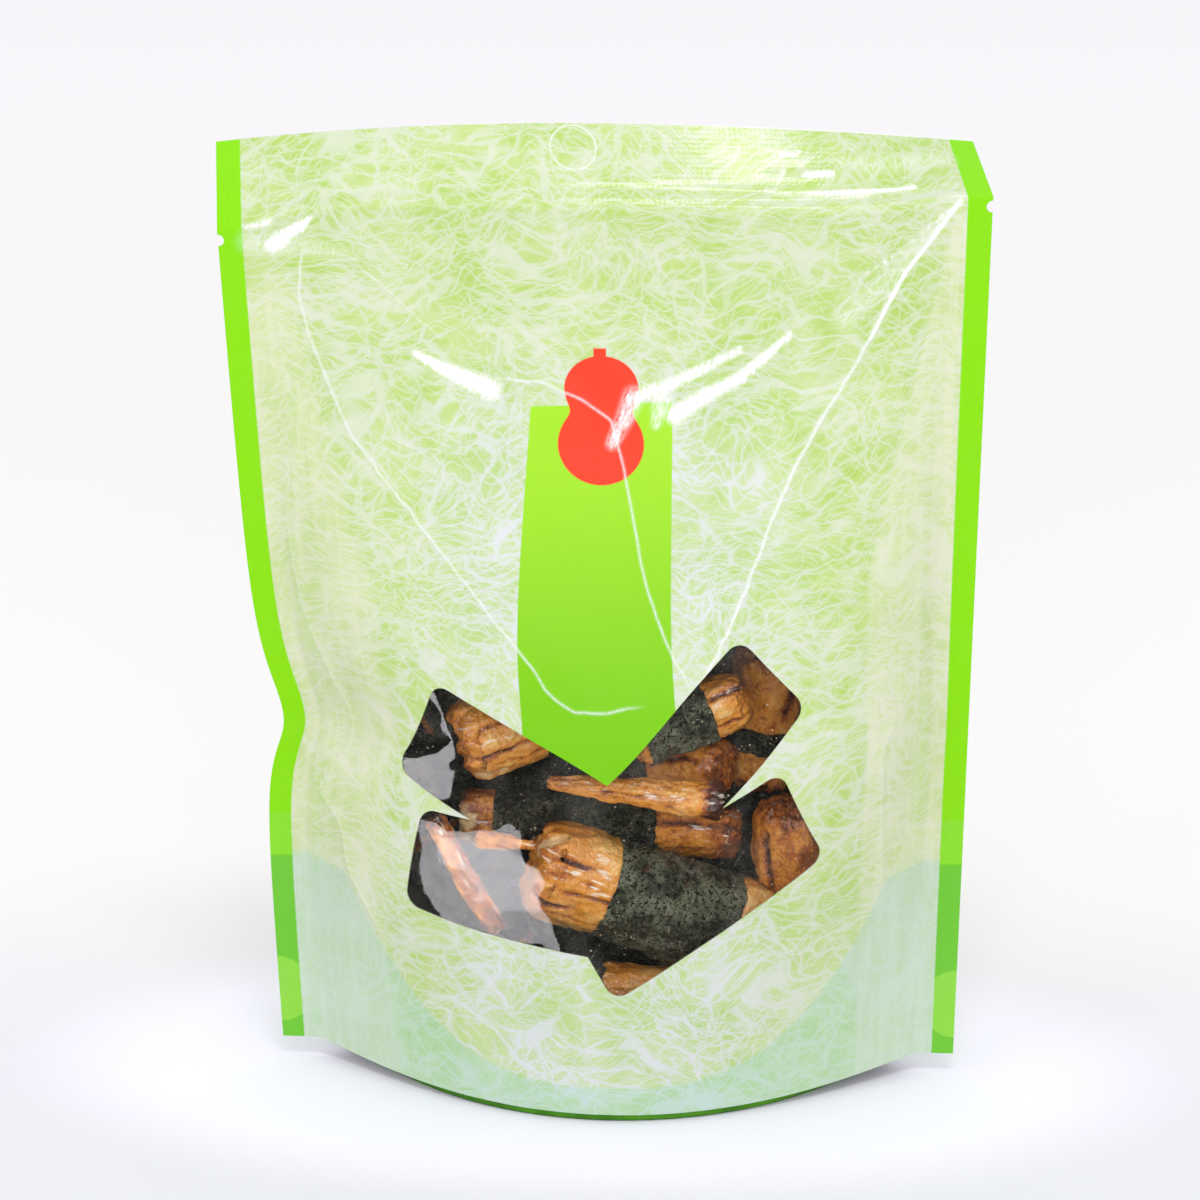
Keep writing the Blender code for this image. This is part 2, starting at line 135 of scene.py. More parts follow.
def path_distance(points: np.ndarray, path: np.ndarray) -> tuple[np.ndarray, np.ndarray]:
    """Distance of flat points from a path.

    Args:
        points: flat points, one a row.
        path: the path's corners, one a row.

    Returns:
        The distances, and how far along the path each nearest place is, 0 to 1.
    """
    runs = np.linalg.norm(np.diff(path, axis=0), axis=1)
    starts = np.concatenate([[0.0], np.cumsum(runs)])
    best = np.full(len(points), np.inf)
    along = np.zeros(len(points))
    for index, run in enumerate(runs):
        way = path[index + 1] - path[index]
        share = np.clip((points - path[index]) @ way / run ** 2, 0.0, 1.0)
        gap = np.linalg.norm(points - path[index] - share[:, None] * way, axis=1)
        nearer = gap < best
        best[nearer] = gap[nearer]
        along[nearer] = (starts[index] + share[nearer] * run) / starts[-1]
    return best, along


def inside_outline(points: np.ndarray, outline: np.ndarray) -> np.ndarray:
    """True for each flat point inside a closed outline."""
    inside = np.zeros(len(points), bool)
    for start, stop in zip(outline, np.roll(outline, -1, axis=0)):
        crosses = (start[1] > points[:, 1]) != (stop[1] > points[:, 1])
        rise = np.where(stop[1] == start[1], 1.0, stop[1] - start[1])
        at = start[0] + (points[:, 1] - start[1]) * (stop[0] - start[0]) / rise
        inside ^= crosses & (points[:, 0] < at)
    return inside


# ----------------------------------------------------------- node arithmetic
@dataclass(frozen=True)
class Wire:
    """A value in a node tree.  Arithmetic on it adds maths nodes."""

    tree: bpy.types.NodeTree
    socket: bpy.types.NodeSocket
    level: bool = False                 # a place on the flat sheet, where patterns need no depth

    def node(self, kind: str) -> bpy.types.Node:
        """A new node in the same tree."""
        return self.tree.nodes.new(kind)

    def plug(self, node: bpy.types.Node, index: int | str, value: "Wire | float | Sequence[float]") -> None:
        """Link a wire to an input, or set the input to a plain value."""
        if isinstance(value, Wire):
            self.tree.links.new(value.socket, node.inputs[index])
        else:
            node.inputs[index].default_value = value

    def maths(self, kind: str, *others: "Wire | float", first: "Wire | float | None" = None) -> "Wire":
        """Apply a maths node to this wire and the others.

        Args:
            kind: the node's operation.
            others: its further inputs.
            first: what goes in first, where that isn't this wire.

        Returns:
            The result.
        """
        node = self.node("ShaderNodeMath")
        node.operation = kind
        self.plug(node, 0, self if first is None else first)
        for index, other in enumerate(others, 1):
            self.plug(node, index, other)
        return Wire(self.tree, node.outputs[0])

    def __add__(self, other: "Wire | float") -> "Wire":
        """Sum."""
        return self.maths("ADD", other)

    def __radd__(self, other: float) -> "Wire":
        """Sum."""
        return self.maths("ADD", other)

    def __sub__(self, other: "Wire | float") -> "Wire":
        """Difference."""
        return self.maths("SUBTRACT", other)

    def __rsub__(self, other: float) -> "Wire":
        """Difference from a plain number."""
        return self.maths("SUBTRACT", self, first=other)

    def __mul__(self, other: "Wire | float") -> "Wire":
        """Product."""
        return self.maths("MULTIPLY", other)

    def __rmul__(self, other: float) -> "Wire":
        """Product."""
        return self.maths("MULTIPLY", other)

    def __truediv__(self, other: "Wire | float") -> "Wire":
        """Quotient."""
        return self.maths("DIVIDE", other)

    def __abs__(self) -> "Wire":
        """Size without sign."""
        return self.maths("ABSOLUTE")

    def least(self, other: "Wire | float") -> "Wire":
        """The smaller of two."""
        return self.maths("MINIMUM", other)

    def most(self, other: "Wire | float") -> "Wire":
        """The larger of two."""
        return self.maths("MAXIMUM", other)

    def ease(self, start: float, stop: float, low: float = 0.0, high: float = 1.0) -> "Wire":
        """Ease from low where this is start to high where it is stop."""
        node = self.node("ShaderNodeMapRange")
        node.interpolation_type = "SMOOTHSTEP"
        if start > stop:
            start, stop, low, high = stop, start, high, low
        for index, value in enumerate((self, start, stop, low, high)):
            self.plug(node, index, value)
        return Wire(self.tree, node.outputs[0])

    def noise(self, scale: float, detail: float = 2.0, roughness: float = 0.5, warp: float = 0.0) -> "Wire":
        """Noise where this wire is a place."""
        return self._noise(scale, detail, roughness, warp, 0)

    def noise_vector(self, scale: float, detail: float = 2.0) -> "Wire":
        """Noise with three parts where this wire is a place."""
        return self._noise(scale, detail, 0.5, 0.0, 1)

    def _noise(self, scale: float, detail: float, roughness: float, warp: float, output: int) -> "Wire":
        """A noise node's value (output 0) or colour (output 1)."""
        node = self.node("ShaderNodeTexNoise")
        node.noise_dimensions = "2D" if self.level else "3D"
        self.plug(node, "Vector", self)
        for name, value in (("Scale", scale), ("Detail", detail), ("Roughness", roughness), ("Distortion", warp)):
            node.inputs[name].default_value = value
        return Wire(self.tree, node.outputs[output])

    def cracks(self, scale: float) -> "Wire":
        """Distance from the borders of scattered cells where this wire is a place."""
        node = self.node("ShaderNodeTexVoronoi")
        node.feature = "DISTANCE_TO_EDGE"
        node.voronoi_dimensions = "2D" if self.level else "3D"
        self.plug(node, "Vector", self)
        node.inputs["Scale"].default_value = scale
        return Wire(self.tree, node.outputs["Distance"])

    def moved(self, offset: "Wire | Sequence[float]", amount: float = 1.0) -> "Wire":
        """This place moved by an offset."""
        node = self.node("ShaderNodeVectorMath")
        node.operation = "MULTIPLY_ADD"
        self.plug(node, 0, offset)
        node.inputs[1].default_value = (amount, amount, amount)
        self.plug(node, 2, self)
        return Wire(self.tree, node.outputs[0], self.level)

    def scaled(self, across: float, along: float, deep: float = 1.0) -> "Wire":
        """This place stretched in each direction."""
        node = self.node("ShaderNodeVectorMath")
        node.operation = "MULTIPLY"
        self.plug(node, 0, self)
        node.inputs[1].default_value = (across, along, deep)
        return Wire(self.tree, node.outputs[0], self.level)

    def turned(self, angle: float) -> "Wire":
        """This place turned about the third axis."""
        node = self.node("ShaderNodeVectorRotate")
        node.rotation_type = "Z_AXIS"
        self.plug(node, "Vector", self)
        node.inputs["Angle"].default_value = angle
        return Wire(self.tree, node.outputs[0], self.level)

    def length(self) -> "Wire":
        """Length of this place."""
        node = self.node("ShaderNodeVectorMath")
        node.operation = "LENGTH"
        self.plug(node, 0, self)
        return Wire(self.tree, node.outputs["Value"])

    def tint(self, first: "Colour | Wire", second: "Colour | Wire") -> "Wire":
        """Colour that runs from first to second as this goes from 0 to 1."""
        node = self.node("ShaderNodeMix")
        node.data_type = "RGBA"
        self.plug(node, 0, self)
        for index, colour in ((6, first), (7, second)):
            self.plug(node, index, colour if isinstance(colour, Wire) else (*colour, 1.0))
        return Wire(self.tree, node.outputs[2])


class Finish:
    """A material under way: its tree, its shader and the wires that feed it."""

    def __init__(self, name: str) -> None:
        """Start a material with a Principled shader.

        Args:
            name: the material's name.
        """
        self.material = bpy.data.materials.new(name)
        self.material.use_nodes = True
        self.tree = self.material.node_tree
        self.shader = self.tree.nodes["Principled BSDF"]
        self.output = self.tree.nodes["Material Output"]

    def read(self, name: str) -> Wire:
        """A number kept on the mesh."""
        node = self.tree.nodes.new("ShaderNodeAttribute")
        node.attribute_name = name
        return Wire(self.tree, node.outputs["Fac"])

    def place(self) -> Wire:
        """Place on the object, in millimetres."""
        node = self.tree.nodes.new("ShaderNodeTexCoord")
        return Wire(self.tree, node.outputs["Object"]).scaled(1 / MM, 1 / MM, 1 / MM)

    def skin(self) -> Wire:
        """Place on a baked stick's skin in millimetres: along it, around it, and a number of its own."""
        joined = self.tree.nodes.new("ShaderNodeCombineXYZ")
        for index, name in enumerate(("along", "around", "own")):
            self.tree.links.new(self.read(name).socket, joined.inputs[index])
        return Wire(self.tree, joined.outputs[0])

    def flat(self) -> tuple[Wire, Wire, Wire]:
        """The print's s and t in millimetres, and both as a place."""
        node = self.tree.nodes.new("ShaderNodeUVMap")
        node.uv_map = PRINT_MAP
        span = PRINT_SPAN / MM
        shift = SHEET.width / 2 / MM
        whole = Wire(self.tree, node.outputs[0], True).scaled(span, span, 0.0).moved((-shift, 0.0, 0.0))
        parts = self.tree.nodes.new("ShaderNodeSeparateXYZ")
        self.tree.links.new(whole.socket, parts.inputs[0])
        return Wire(self.tree, parts.outputs[0]), Wire(self.tree, parts.outputs[1]), whole

    def feed(self, name: str, wire: Wire) -> None:
        """Link a wire to one of the shader's sockets."""
        self.tree.links.new(wire.socket, self.shader.inputs[name])

    def fix(self, **values: float | Sequence[float]) -> None:
        """Set plain values on the shader's sockets, with spaces as underscores."""
        for name, value in values.items():
            self.shader.inputs[name.replace("_", " ")].default_value = value

    def bump(self, height: Wire, distance: float, strength: float = 1.0) -> None:
        """Raise the surface by a wire, in metres times distance."""
        node = self.tree.nodes.new("ShaderNodeBump")
        node.inputs["Strength"].default_value = strength
        node.inputs["Distance"].default_value = distance
        self.tree.links.new(height.socket, node.inputs["Height"])
        self.tree.links.new(node.outputs[0], self.shader.inputs["Normal"])
        if "Coat Normal" in self.shader.inputs:
            self.tree.links.new(node.outputs[0], self.shader.inputs["Coat Normal"])


# ------------------------------------------------------------ mesh and pieces
def new_piece(
    name: str,
    points: np.ndarray,
    faces: np.ndarray | list,
    flat: np.ndarray | None = None,
    marks: dict[str, np.ndarray] | None = None,
) -> bpy.types.Object:
    """Make an object from arrays.

    Args:
        name: the piece's name.
        points: its vertices, one a row.
        faces: vertex numbers of each face.
        flat: flat coordinates of the vertices, for the print map.
        marks: numbers kept on the vertices, by name.

    Returns:
        The object, smooth shaded and linked into the scene.
    """
    mesh = bpy.data.meshes.new(name)
    mesh.from_pydata(points.tolist(), [], faces if isinstance(faces, list) else faces.tolist())
    mesh.shade_smooth()
    if flat is not None:
        corners = np.empty(len(mesh.loops), np.int32)
        mesh.loops.foreach_get("vertex_index", corners)
        places = (flat + (SHEET.width / 2, 0.0)) / PRINT_SPAN
        layer = mesh.uv_layers.new(name=PRINT_MAP)
        layer.data.foreach_set("uv", places[corners].ravel().astype(np.float32))
    for mark, values in (marks or {}).items():
        kept = mesh.attributes.new(mark, "FLOAT", "POINT")
        kept.data.foreach_set("value", np.asarray(values, np.float32))
    mesh.update()
    thing = bpy.data.objects.new(name, mesh)
    bpy.context.scene.collection.objects.link(thing)
    return thing


def thicken(thing: bpy.types.Object, thickness: float, inner: bpy.types.Material | None = None) -> None:
    """Give a film its thickness, inwards from the face that shows, with crisp edges.

    Args:
        thing: the film.
        thickness: how thick it is.
        inner: the material of its inner face, where that differs.
    """
    modifier = thing.modifiers.new("thickness", "SOLIDIFY")
    modifier.thickness = thickness
    modifier.offset = -1.0
    modifier.use_even_offset = False
    if inner:
        thing.data.materials.append(inner)
        modifier.material_offset = 1
    done = thing.evaluated_get(bpy.context.evaluated_depsgraph_get())
    thing.data = bpy.data.meshes.new_from_object(done)
    thing.modifiers.clear()
    thing.data.set_sharp_from_angle(angle=math.radians(50.0))


def settle(thing: bpy.types.Object, finish: Finish, slot: str, *nodes: str) -> bpy.types.Object:
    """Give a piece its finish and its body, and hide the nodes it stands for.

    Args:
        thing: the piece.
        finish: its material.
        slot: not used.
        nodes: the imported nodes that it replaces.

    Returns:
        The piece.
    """
    if not thing.data.materials:
        thing.data.materials.append(finish.material)
    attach(thing, ROOT)
    if nodes:
        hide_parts(*nodes)
    LOG.info("%s: %d faces", thing.name, len(thing.data.polygons))
    return thing


# ------------------------------------------------------------- the film sheet
class Side(Enum):
    """The two panels of the pouch, by their direction along Y."""

    FRONT = -1
    BACK = 1


class Corner(Enum):
    """How an outline turns at a corner."""

    SHARP = 0
    ROUND = 1


@dataclass(frozen=True)
class Crease:
    """A crease in the film: a path of flat points in millimetres, and its size."""

    path: Path
    height: float
    reach: float
    whiteness: float = 1.0
    line: float = 0.00020
    step: float = 0.0022
    shake: float = 0.00013

    def corners(self) -> np.ndarray:
        """The path in metres, in short uneven steps."""
        path = np.array(self.path) * MM
        starts = np.concatenate([[0.0], np.cumsum(np.linalg.norm(np.diff(path, axis=0), axis=1))])
        places = np.linspace(0.0, starts[-1], max(int(starts[-1] / self.step), 2))
        even = np.stack([np.interp(places, starts, path[:, axis]) for axis in (0, 1)], axis=1)
        shake = np.random.default_rng(len(self.path)).normal(0.0, self.shake, even.shape)
        shake[[0, -1]] = 0.0
        return even + shake


@dataclass(frozen=True)
class Sheet:
    """The film's size, and how the filled pouch folds it."""

    width: float = 0.150
    height: float = 0.196
    header: float = 0.018
    side_seal: float = 0.008
    belly: float = 0.0330
    belly_height: float = 0.050
    base_share: float = 0.90
    corner_lift: float = 0.004
    rim: float = 0.0015
    left_foot: float = -0.0643
    left_zip: float = -0.0737
    right_foot: float = 0.0703
    right_zip: float = 0.0740
    left_rise: float = 0.1683
    right_rise: float = 0.1741
    top_left: float = -0.0740
    top_right: float = 0.0701
    top_line: float = 0.1919
    droop_left: float = 0.0050
    droop_right: float = 0.0017
    crest: float = 0.1
    lean: tuple[float, float, float] = (0.008, 0.006, 0.002)
    lean_cost: float = 0.30
    base_power: float = 2.0
    belly_power: float = 3.2
    base_edge: float = 1.20
    belly_edge: float = 1.05
    full_from: float = 0.070
    panel_dent: float = 0.0016
    panel_tip: tuple[float, float] = (0.006, 0.082)
    panel_left: tuple[float, float] = (-0.057, 0.172)
    panel_right: tuple[float, float] = (0.066, 0.176)
    panel_soft: float = 0.014
    kink_height: float = 0.0715
    kink_below: float = 0.009
    kink_above: float = 0.013
    kink_depth: float = 0.0054
    kink_loss: float = 0.0031
    kink_spread: float = 0.0175
    kink_dent: float = 0.0030
    kink_reach: float = 0.016
    kink_in: float = 0.014
    dent_fade: float = 0.010

    @property
    def body(self) -> float:
        """Height of the sheet below its header."""
        return self.height - self.header

    @property
    def half(self) -> float:
        """Half the sheet's width."""
        return self.width / 2

    def middle_depth(self, t: np.ndarray) -> np.ndarray:
        """Half depth of the pouch on its centre line."""
        low = self.belly * mix(self.base_share, 1.0, np.sin(np.pi * np.clip(t / self.belly_height, 0, 1) / 2))
        share = np.clip((t - self.belly_height) / (self.body - self.belly_height), 0.0, 1.0)
        return np.where(t < self.belly_height, low, self.belly * np.cos(np.pi / 2 * share) ** 2)

    def middle_height(self, t: np.ndarray) -> np.ndarray:
        """Height of the centre line: the film doesn't stretch, so it rises less where it leans."""
        places = np.linspace(0.0, self.body, 181)
        leans = np.diff(self.middle_depth(places))
        rises = np.sqrt(np.maximum(np.diff(places) ** 2 - leans ** 2, 0.0))
        heights = self.rim + np.concatenate([[0.0], np.cumsum(rises)])
        return np.interp(t, places, heights)

    def left_seam(self, t: np.ndarray) -> tuple[np.ndarray, np.ndarray]:
        """Outer edge of the left seal, x and z: it buckles in at the kink."""
        share = np.clip(t / self.body, 0.0, 1.0)
        lost = self.kink_loss * smooth(self.kink_height - self.kink_spread, self.kink_height + self.kink_spread, t)
        height = self.corner_lift + self.left_rise * share - lost
        fade = np.where(height > self.kink_height, self.kink_above, self.kink_below)
        buckle = self.kink_depth / (1 + ((height - self.kink_height) / fade) ** 2)
        return mix(self.left_foot, self.left_zip, share) + buckle, height

    def right_seam(self, t: np.ndarray) -> tuple[np.ndarray, np.ndarray]:
        """Outer edge of the right seal, x and z."""
        share = np.clip(t / self.body, 0.0, 1.0)
        return mix(self.right_foot, self.right_zip, share), self.corner_lift + self.right_rise * share

    def top_edge(self, share: np.ndarray) -> tuple[np.ndarray, np.ndarray, np.ndarray]:
        """The header's top, share 0 at the left to 1 at the right."""
        middle, tilt, bow = self.lean
        turn = 2 * share - 1
        back = middle + tilt * turn + bow * turn * turn
        left = self.droop_left * (np.maximum(self.crest - turn, 0.0) / (1 + self.crest)) ** 2
        right = self.droop_right * (np.maximum(turn - self.crest, 0.0) / (1 - self.crest)) ** 2
        height = self.top_line - left - right - self.lean_cost * back
        return mix(self.top_left, self.top_right, share), back, height

    def fullness(self, w: np.ndarray, t: np.ndarray) -> np.ndarray:
        """Share of the middle's half depth at w, -1 to 1 between the seals."""
        fuller = smooth(0.0, self.full_from, t)
        power = mix(self.base_power, self.belly_power, fuller)
        return np.maximum(1 - np.abs(w) ** power, 0.0) ** mix(self.base_edge, self.belly_edge, fuller)

    def panel_side(self, s: np.ndarray, t: np.ndarray, end: tuple[float, float]) -> np.ndarray:
        """Distance from the line out of the panel's tip, positive on its right."""
        run = (end[0] - self.panel_tip[0], end[1] - self.panel_tip[1])
        return ((s - self.panel_tip[0]) * run[1] - (t - self.panel_tip[1]) * run[0]) / math.hypot(*run)

    def dent(self, s: np.ndarray, t: np.ndarray) -> np.ndarray:
        """How far the front film lies in from its full form."""
        inside = np.minimum(self.panel_side(s, t, self.panel_left), -self.panel_side(s, t, self.panel_right))
        panel = self.panel_dent * smooth(0.0, self.panel_soft, inside) * smooth(self.body, self.body - 0.03, t)
        away = np.hypot(s + self.half - self.kink_in, t - self.kink_height)
        return panel + self.kink_dent * np.exp(-((away / self.kink_reach) ** 2))

    def fold(self, flat: np.ndarray, side: Side) -> np.ndarray:
        """Put flat points on the filled pouch.

        Args:
            flat: s and t, one point a row.
            side: which panel.

        Returns:
            Their places, one a row.
        """
        s, t = flat[:, 0], flat[:, 1]
        share = s / self.width + 0.5
        w = np.clip(s / (self.half - self.side_seal), -1.0, 1.0)
        left_x, left_z = self.left_seam(t)
        right_x, right_z = self.right_seam(t)
        depth = self.middle_depth(np.minimum(t, self.body)) * self.fullness(w, t)
        if side is Side.FRONT:
            depth = np.maximum(depth - self.dent(s, t) * smooth(0.0, self.dent_fade, depth), 0.0)
        height = mix(mix(left_z, right_z, share), self.middle_height(t), 1 - w ** 4)
        body = np.stack([mix(left_x, right_x, share), side.value * depth, height], axis=1)
        top = np.stack(self.top_edge(share), axis=1)
        above = np.clip((t - self.body) / self.header, 0.0, 1.0)[:, None]
        return mix(body, top, above)

    def outward(self, flat: np.ndarray, side: Side) -> np.ndarray:
        """Unit normals of the panel at flat points, away from the contents."""
        step = 0.0008
        keep = np.array([self.half, self.height])
        here = np.clip(flat, (-keep[0] + step, step), keep - step)
        across = self.fold(here + (step, 0.0), side) - self.fold(here - (step, 0.0), side)
        along = self.fold(here + (0.0, step), side) - self.fold(here - (0.0, step), side)
        normal = np.cross(across, along) * -side.value
        return normal / np.linalg.norm(normal, axis=1, keepdims=True)


SHEET = Sheet()


# ------------------------------------------------------------- film in detail
@dataclass(frozen=True)
class Window:
    """The clear window: crossed bars left unprinted, as one flat outline."""

    radius: float = 0.0031
    corners: tuple[tuple[float, float, Corner], ...] = (
        (-0.0364, 0.0864, Corner.ROUND),
        (-0.0010, 0.0685, Corner.SHARP),
        (0.0274, 0.0967, Corner.ROUND),
        (0.0407, 0.0826, Corner.ROUND),
        (0.0238, 0.0643, Corner.SHARP),
        (0.0352, 0.0707, Corner.ROUND),
        (0.0457, 0.0517, Corner.ROUND),
        (0.0021, 0.0247, Corner.ROUND),
        (-0.0032, 0.0340, Corner.SHARP),
        (-0.0428, 0.0404, Corner.ROUND),
        (-0.0392, 0.0613, Corner.ROUND),
        (-0.0288, 0.0606, Corner.SHARP),
        (-0.0477, 0.0681, Corner.ROUND),
    )
    arc_steps: int = 8
    longest: float = 0.0012

    def outline(self) -> np.ndarray:
        """Points of the outline, with rounded corners and short edges."""
        turned = []
        for index, (s, t, turn) in enumerate(self.corners):
            here = Vector((s, t))
            before = Vector(self.corners[index - 1][:2]) - here
            after = Vector(self.corners[(index + 1) % len(self.corners)][:2]) - here
            turned += [here] if turn is Corner.SHARP else self.arc(here, before, after)
        points = []
        for index, point in enumerate(turned):
            after = turned[(index + 1) % len(turned)]
            count = max(math.ceil((after - point).length / self.longest), 1)
            points += [point.lerp(after, step / count) for step in range(count)]
        return np.array([tuple(point) for point in points])

    def arc(self, here: Vector, before: Vector, after: Vector) -> list[Vector]:
        """Points that round off one corner.

        Args:
            here: the corner.
            before: the way back to the last corner.
            after: the way on to the next corner.

        Returns:
            The arc's points in order.
        """
        half = before.angle(after) / 2
        toward = (before.normalized() + after.normalized()).normalized()
        centre = here + toward * (self.radius / math.sin(half))
        first = here + before.normalized() * (self.radius / math.tan(half)) - centre
        last = here + after.normalized() * (self.radius / math.tan(half)) - centre
        sweep = first.angle_signed(last)
        points = []
        for step in range(self.arc_steps + 1):
            angle = -sweep * step / self.arc_steps
            cosine, sine = math.cos(angle), math.sin(angle)
            points.append(centre + Vector((first.x * cosine - first.y * sine, first.x * sine + first.y * cosine)))
        return points


@dataclass(frozen=True)
class Notch:
    """Small round tear notch cut through a side seal."""

    height: float = 0.176
    radius: float = 0.0012
    sides: int = 20

    def outline(self, way: int) -> np.ndarray:
        """Outline of the notch in one edge, -1 for the left and 1 for the right."""
        angles = np.linspace(math.pi / 2, 3 * math.pi / 2, self.sides)
        s = way * (SHEET.half + self.radius * np.cos(angles))
        return np.stack([s, self.height + self.radius * np.sin(angles)], axis=1)


@dataclass(frozen=True)
class GlareStroke:
    """A painted highlight on the film, a glare patch where it would mirror the lights: a path, and its half width at
    both ends, in millimetres.
    """

    path: Path
    start: float
    stop: float
    strength: float = 1.0


@dataclass(frozen=True)
class Wrinkles:
    """Small relief of the film: slack waves, creases, the zip and the seals; also the glare patches painted on it as
    highlights.
    """

    creases: tuple[Crease, ...]
    # painted highlights: each stroke paints a white glare patch into the print's colour
    glare_strokes: tuple[GlareStroke, ...] = (
        GlareStroke(((-69.1, 178.9), (-64.8, 178.9)), 0.5, 1.0, 0.7),
        GlareStroke(((-56.6, 177.9), (-60.0, 176.2), (-63.9, 174.2)), 0.6, 2.0),
        GlareStroke(((-37.2, 150.5), (-32.9, 148.1), (-27.4, 145.7), (-22.5, 143.6)), 0.6, 2.2),
        GlareStroke(((36.5, 154.9), (31.7, 150.7), (26.8, 146.5), (19.5, 142.8), (14.0, 139.1)), 0.7, 2.0, 0.85),
        GlareStroke(((26.8, 152.0), (20.7, 148.9), (12.1, 144.6), (5.9, 142.6)), 0.9, 1.8, 0.70),
        GlareStroke(((5.9, 142.6), (4.1, 138.3), (1.6, 133.4)), 2.6, 1.6, 0.60),
        GlareStroke(((11.5, 142.1), (10.3, 137.2)), 2.8, 1.4, 0.50),
        GlareStroke(((68.7, 177.3), (62.6, 173.2), (56.2, 168.8), (48.5, 164.1)), 0.60, 0.35, 0.46),
        GlareStroke(((68.7, 177.3), (63.3, 170.6), (58.7, 165.4), (55.2, 159.2), (52.4, 153.4)), 0.60, 0.35, 0.9),
        GlareStroke(((63.3, 171.9), (55.7, 165.2), (47.4, 157.5)), 1.8, 5.0, 0.34),
        GlareStroke(((52.0, 188.5), (68.0, 189.5)), 4.5, 4.0, 0.34),
        GlareStroke(((-69.0, 175.5), (-52.0, 170.5)), 4.0, 3.0, 0.34),
        GlareStroke(((33.1, 182.0), (37.9, 182.0), (48.8, 182.4), (61.4, 182.1)), 0.45, 0.35, 0.9),
        GlareStroke(((36.1, 190.6), (39.8, 191.0)), 0.7, 0.6, 0.8),
        GlareStroke(((40.3, 186.3), (45.3, 186.7)), 0.8, 0.9, 0.9),
        GlareStroke(((33.1, 182.3), (36.3, 187.6)), 0.3, 0.5, 0.7),
        GlareStroke(((59.7, 182.7), (60.9, 182.6)), 0.8, 0.6, 0.9),
    )
    wave: float = 0.00034
    wave_length: float = 0.026
    ripple: float = 0.00007
    ripple_length: float = 0.0065
    zip_height: float = 0.1792
    zip_width: float = 0.0020
    zip_proud: float = 0.0003
    seal_step: float = 0.00022
    crinkle: float = 0.00024
    crinkle_middle: tuple[float, float] = (0.044, 0.186)
    crinkle_size: tuple[float, float] = (0.014, 0.0060)

    def relief(self, flat: np.ndarray, seed: int) -> np.ndarray:
        """Height of the film's relief at flat points, outwards."""
        s, t = flat[:, 0], flat[:, 1]
        place = np.stack([s, t, np.full(len(s), 0.0)], axis=1)
        waves = self.wave * Noise(seed).layered(place / self.wave_length, 2, 0.4)
        waves += self.ripple * Noise(seed + 1).layered(place / self.ripple_length, 2, 0.5)
        free = smooth(0.0, 0.012, SHEET.half - SHEET.side_seal - np.abs(s)) * smooth(0.0, 0.010, t)
        held = 1 - 0.75 * smooth(self.zip_height - 0.010, self.zip_height, t)
        height = waves * (0.12 + 0.88 * free) * held
        for crease in self.creases:
            away, along = path_distance(flat, crease.corners())
            ends = smooth(0.0, 0.06, along) * smooth(1.0, 0.94, along)
            height += crease.height * ends * np.exp(-away / crease.reach)
        for lift in (0.0, 0.0034):
            ridge = np.exp(-(((t - self.zip_height - lift) / (self.zip_width * 0.42)) ** 4))
            height += self.zip_proud * ridge * smooth(0.0, 0.003, SHEET.half - SHEET.side_seal / 2 - np.abs(s))
        away_s = (s - self.crinkle_middle[0]) / self.crinkle_size[0]
        away_t = (t - self.crinkle_middle[1]) / self.crinkle_size[1]
        crinkled = np.exp(-(away_s ** 2) - away_t ** 2)
        tight = np.stack([s / 0.0085, t / 0.0034, np.zeros(len(s))], axis=1)
        height += self.crinkle * crinkled * Noise(seed + 2).layered(tight, 2, 0.5)
        return height

    def whitening(self, flat: np.ndarray) -> np.ndarray:
        """How white the creased film is at flat points, 0 to 1."""
        white = np.zeros(len(flat))
        for crease in self.creases:
            away, along = path_distance(flat, crease.corners())
            ends = smooth(0.0, 0.05, along) * smooth(1.0, 0.95, along)
            white = np.maximum(white, crease.whiteness * ends * np.exp(-((away / crease.line) ** 2)))
        return white

    def sheen(self, flat: np.ndarray) -> np.ndarray:
        """How strongly glare is painted on the film at flat points, 0 to 1: a painted highlight."""
        painted_glare = np.zeros(len(flat))
        for stroke in self.glare_strokes:
            away, along = path_distance(flat / MM, np.array(stroke.path))
            painted_glare = np.maximum(painted_glare, stroke.strength * np.exp(-((away / mix(stroke.start, stroke.stop, along)) ** 2)))
        return painted_glare


@dataclass
class FlatMesh:
    """Triangles over the flat sheet, split into print and window."""

    points: np.ndarray
    printed: np.ndarray
    clear: np.ndarray

    @staticmethod
    def subset(points: np.ndarray, faces: np.ndarray) -> tuple[np.ndarray, np.ndarray]:
        """Keep only the points that the faces use."""
        used, renumbered = np.unique(faces, return_inverse=True)
        return points[used], renumbered.reshape(faces.shape)


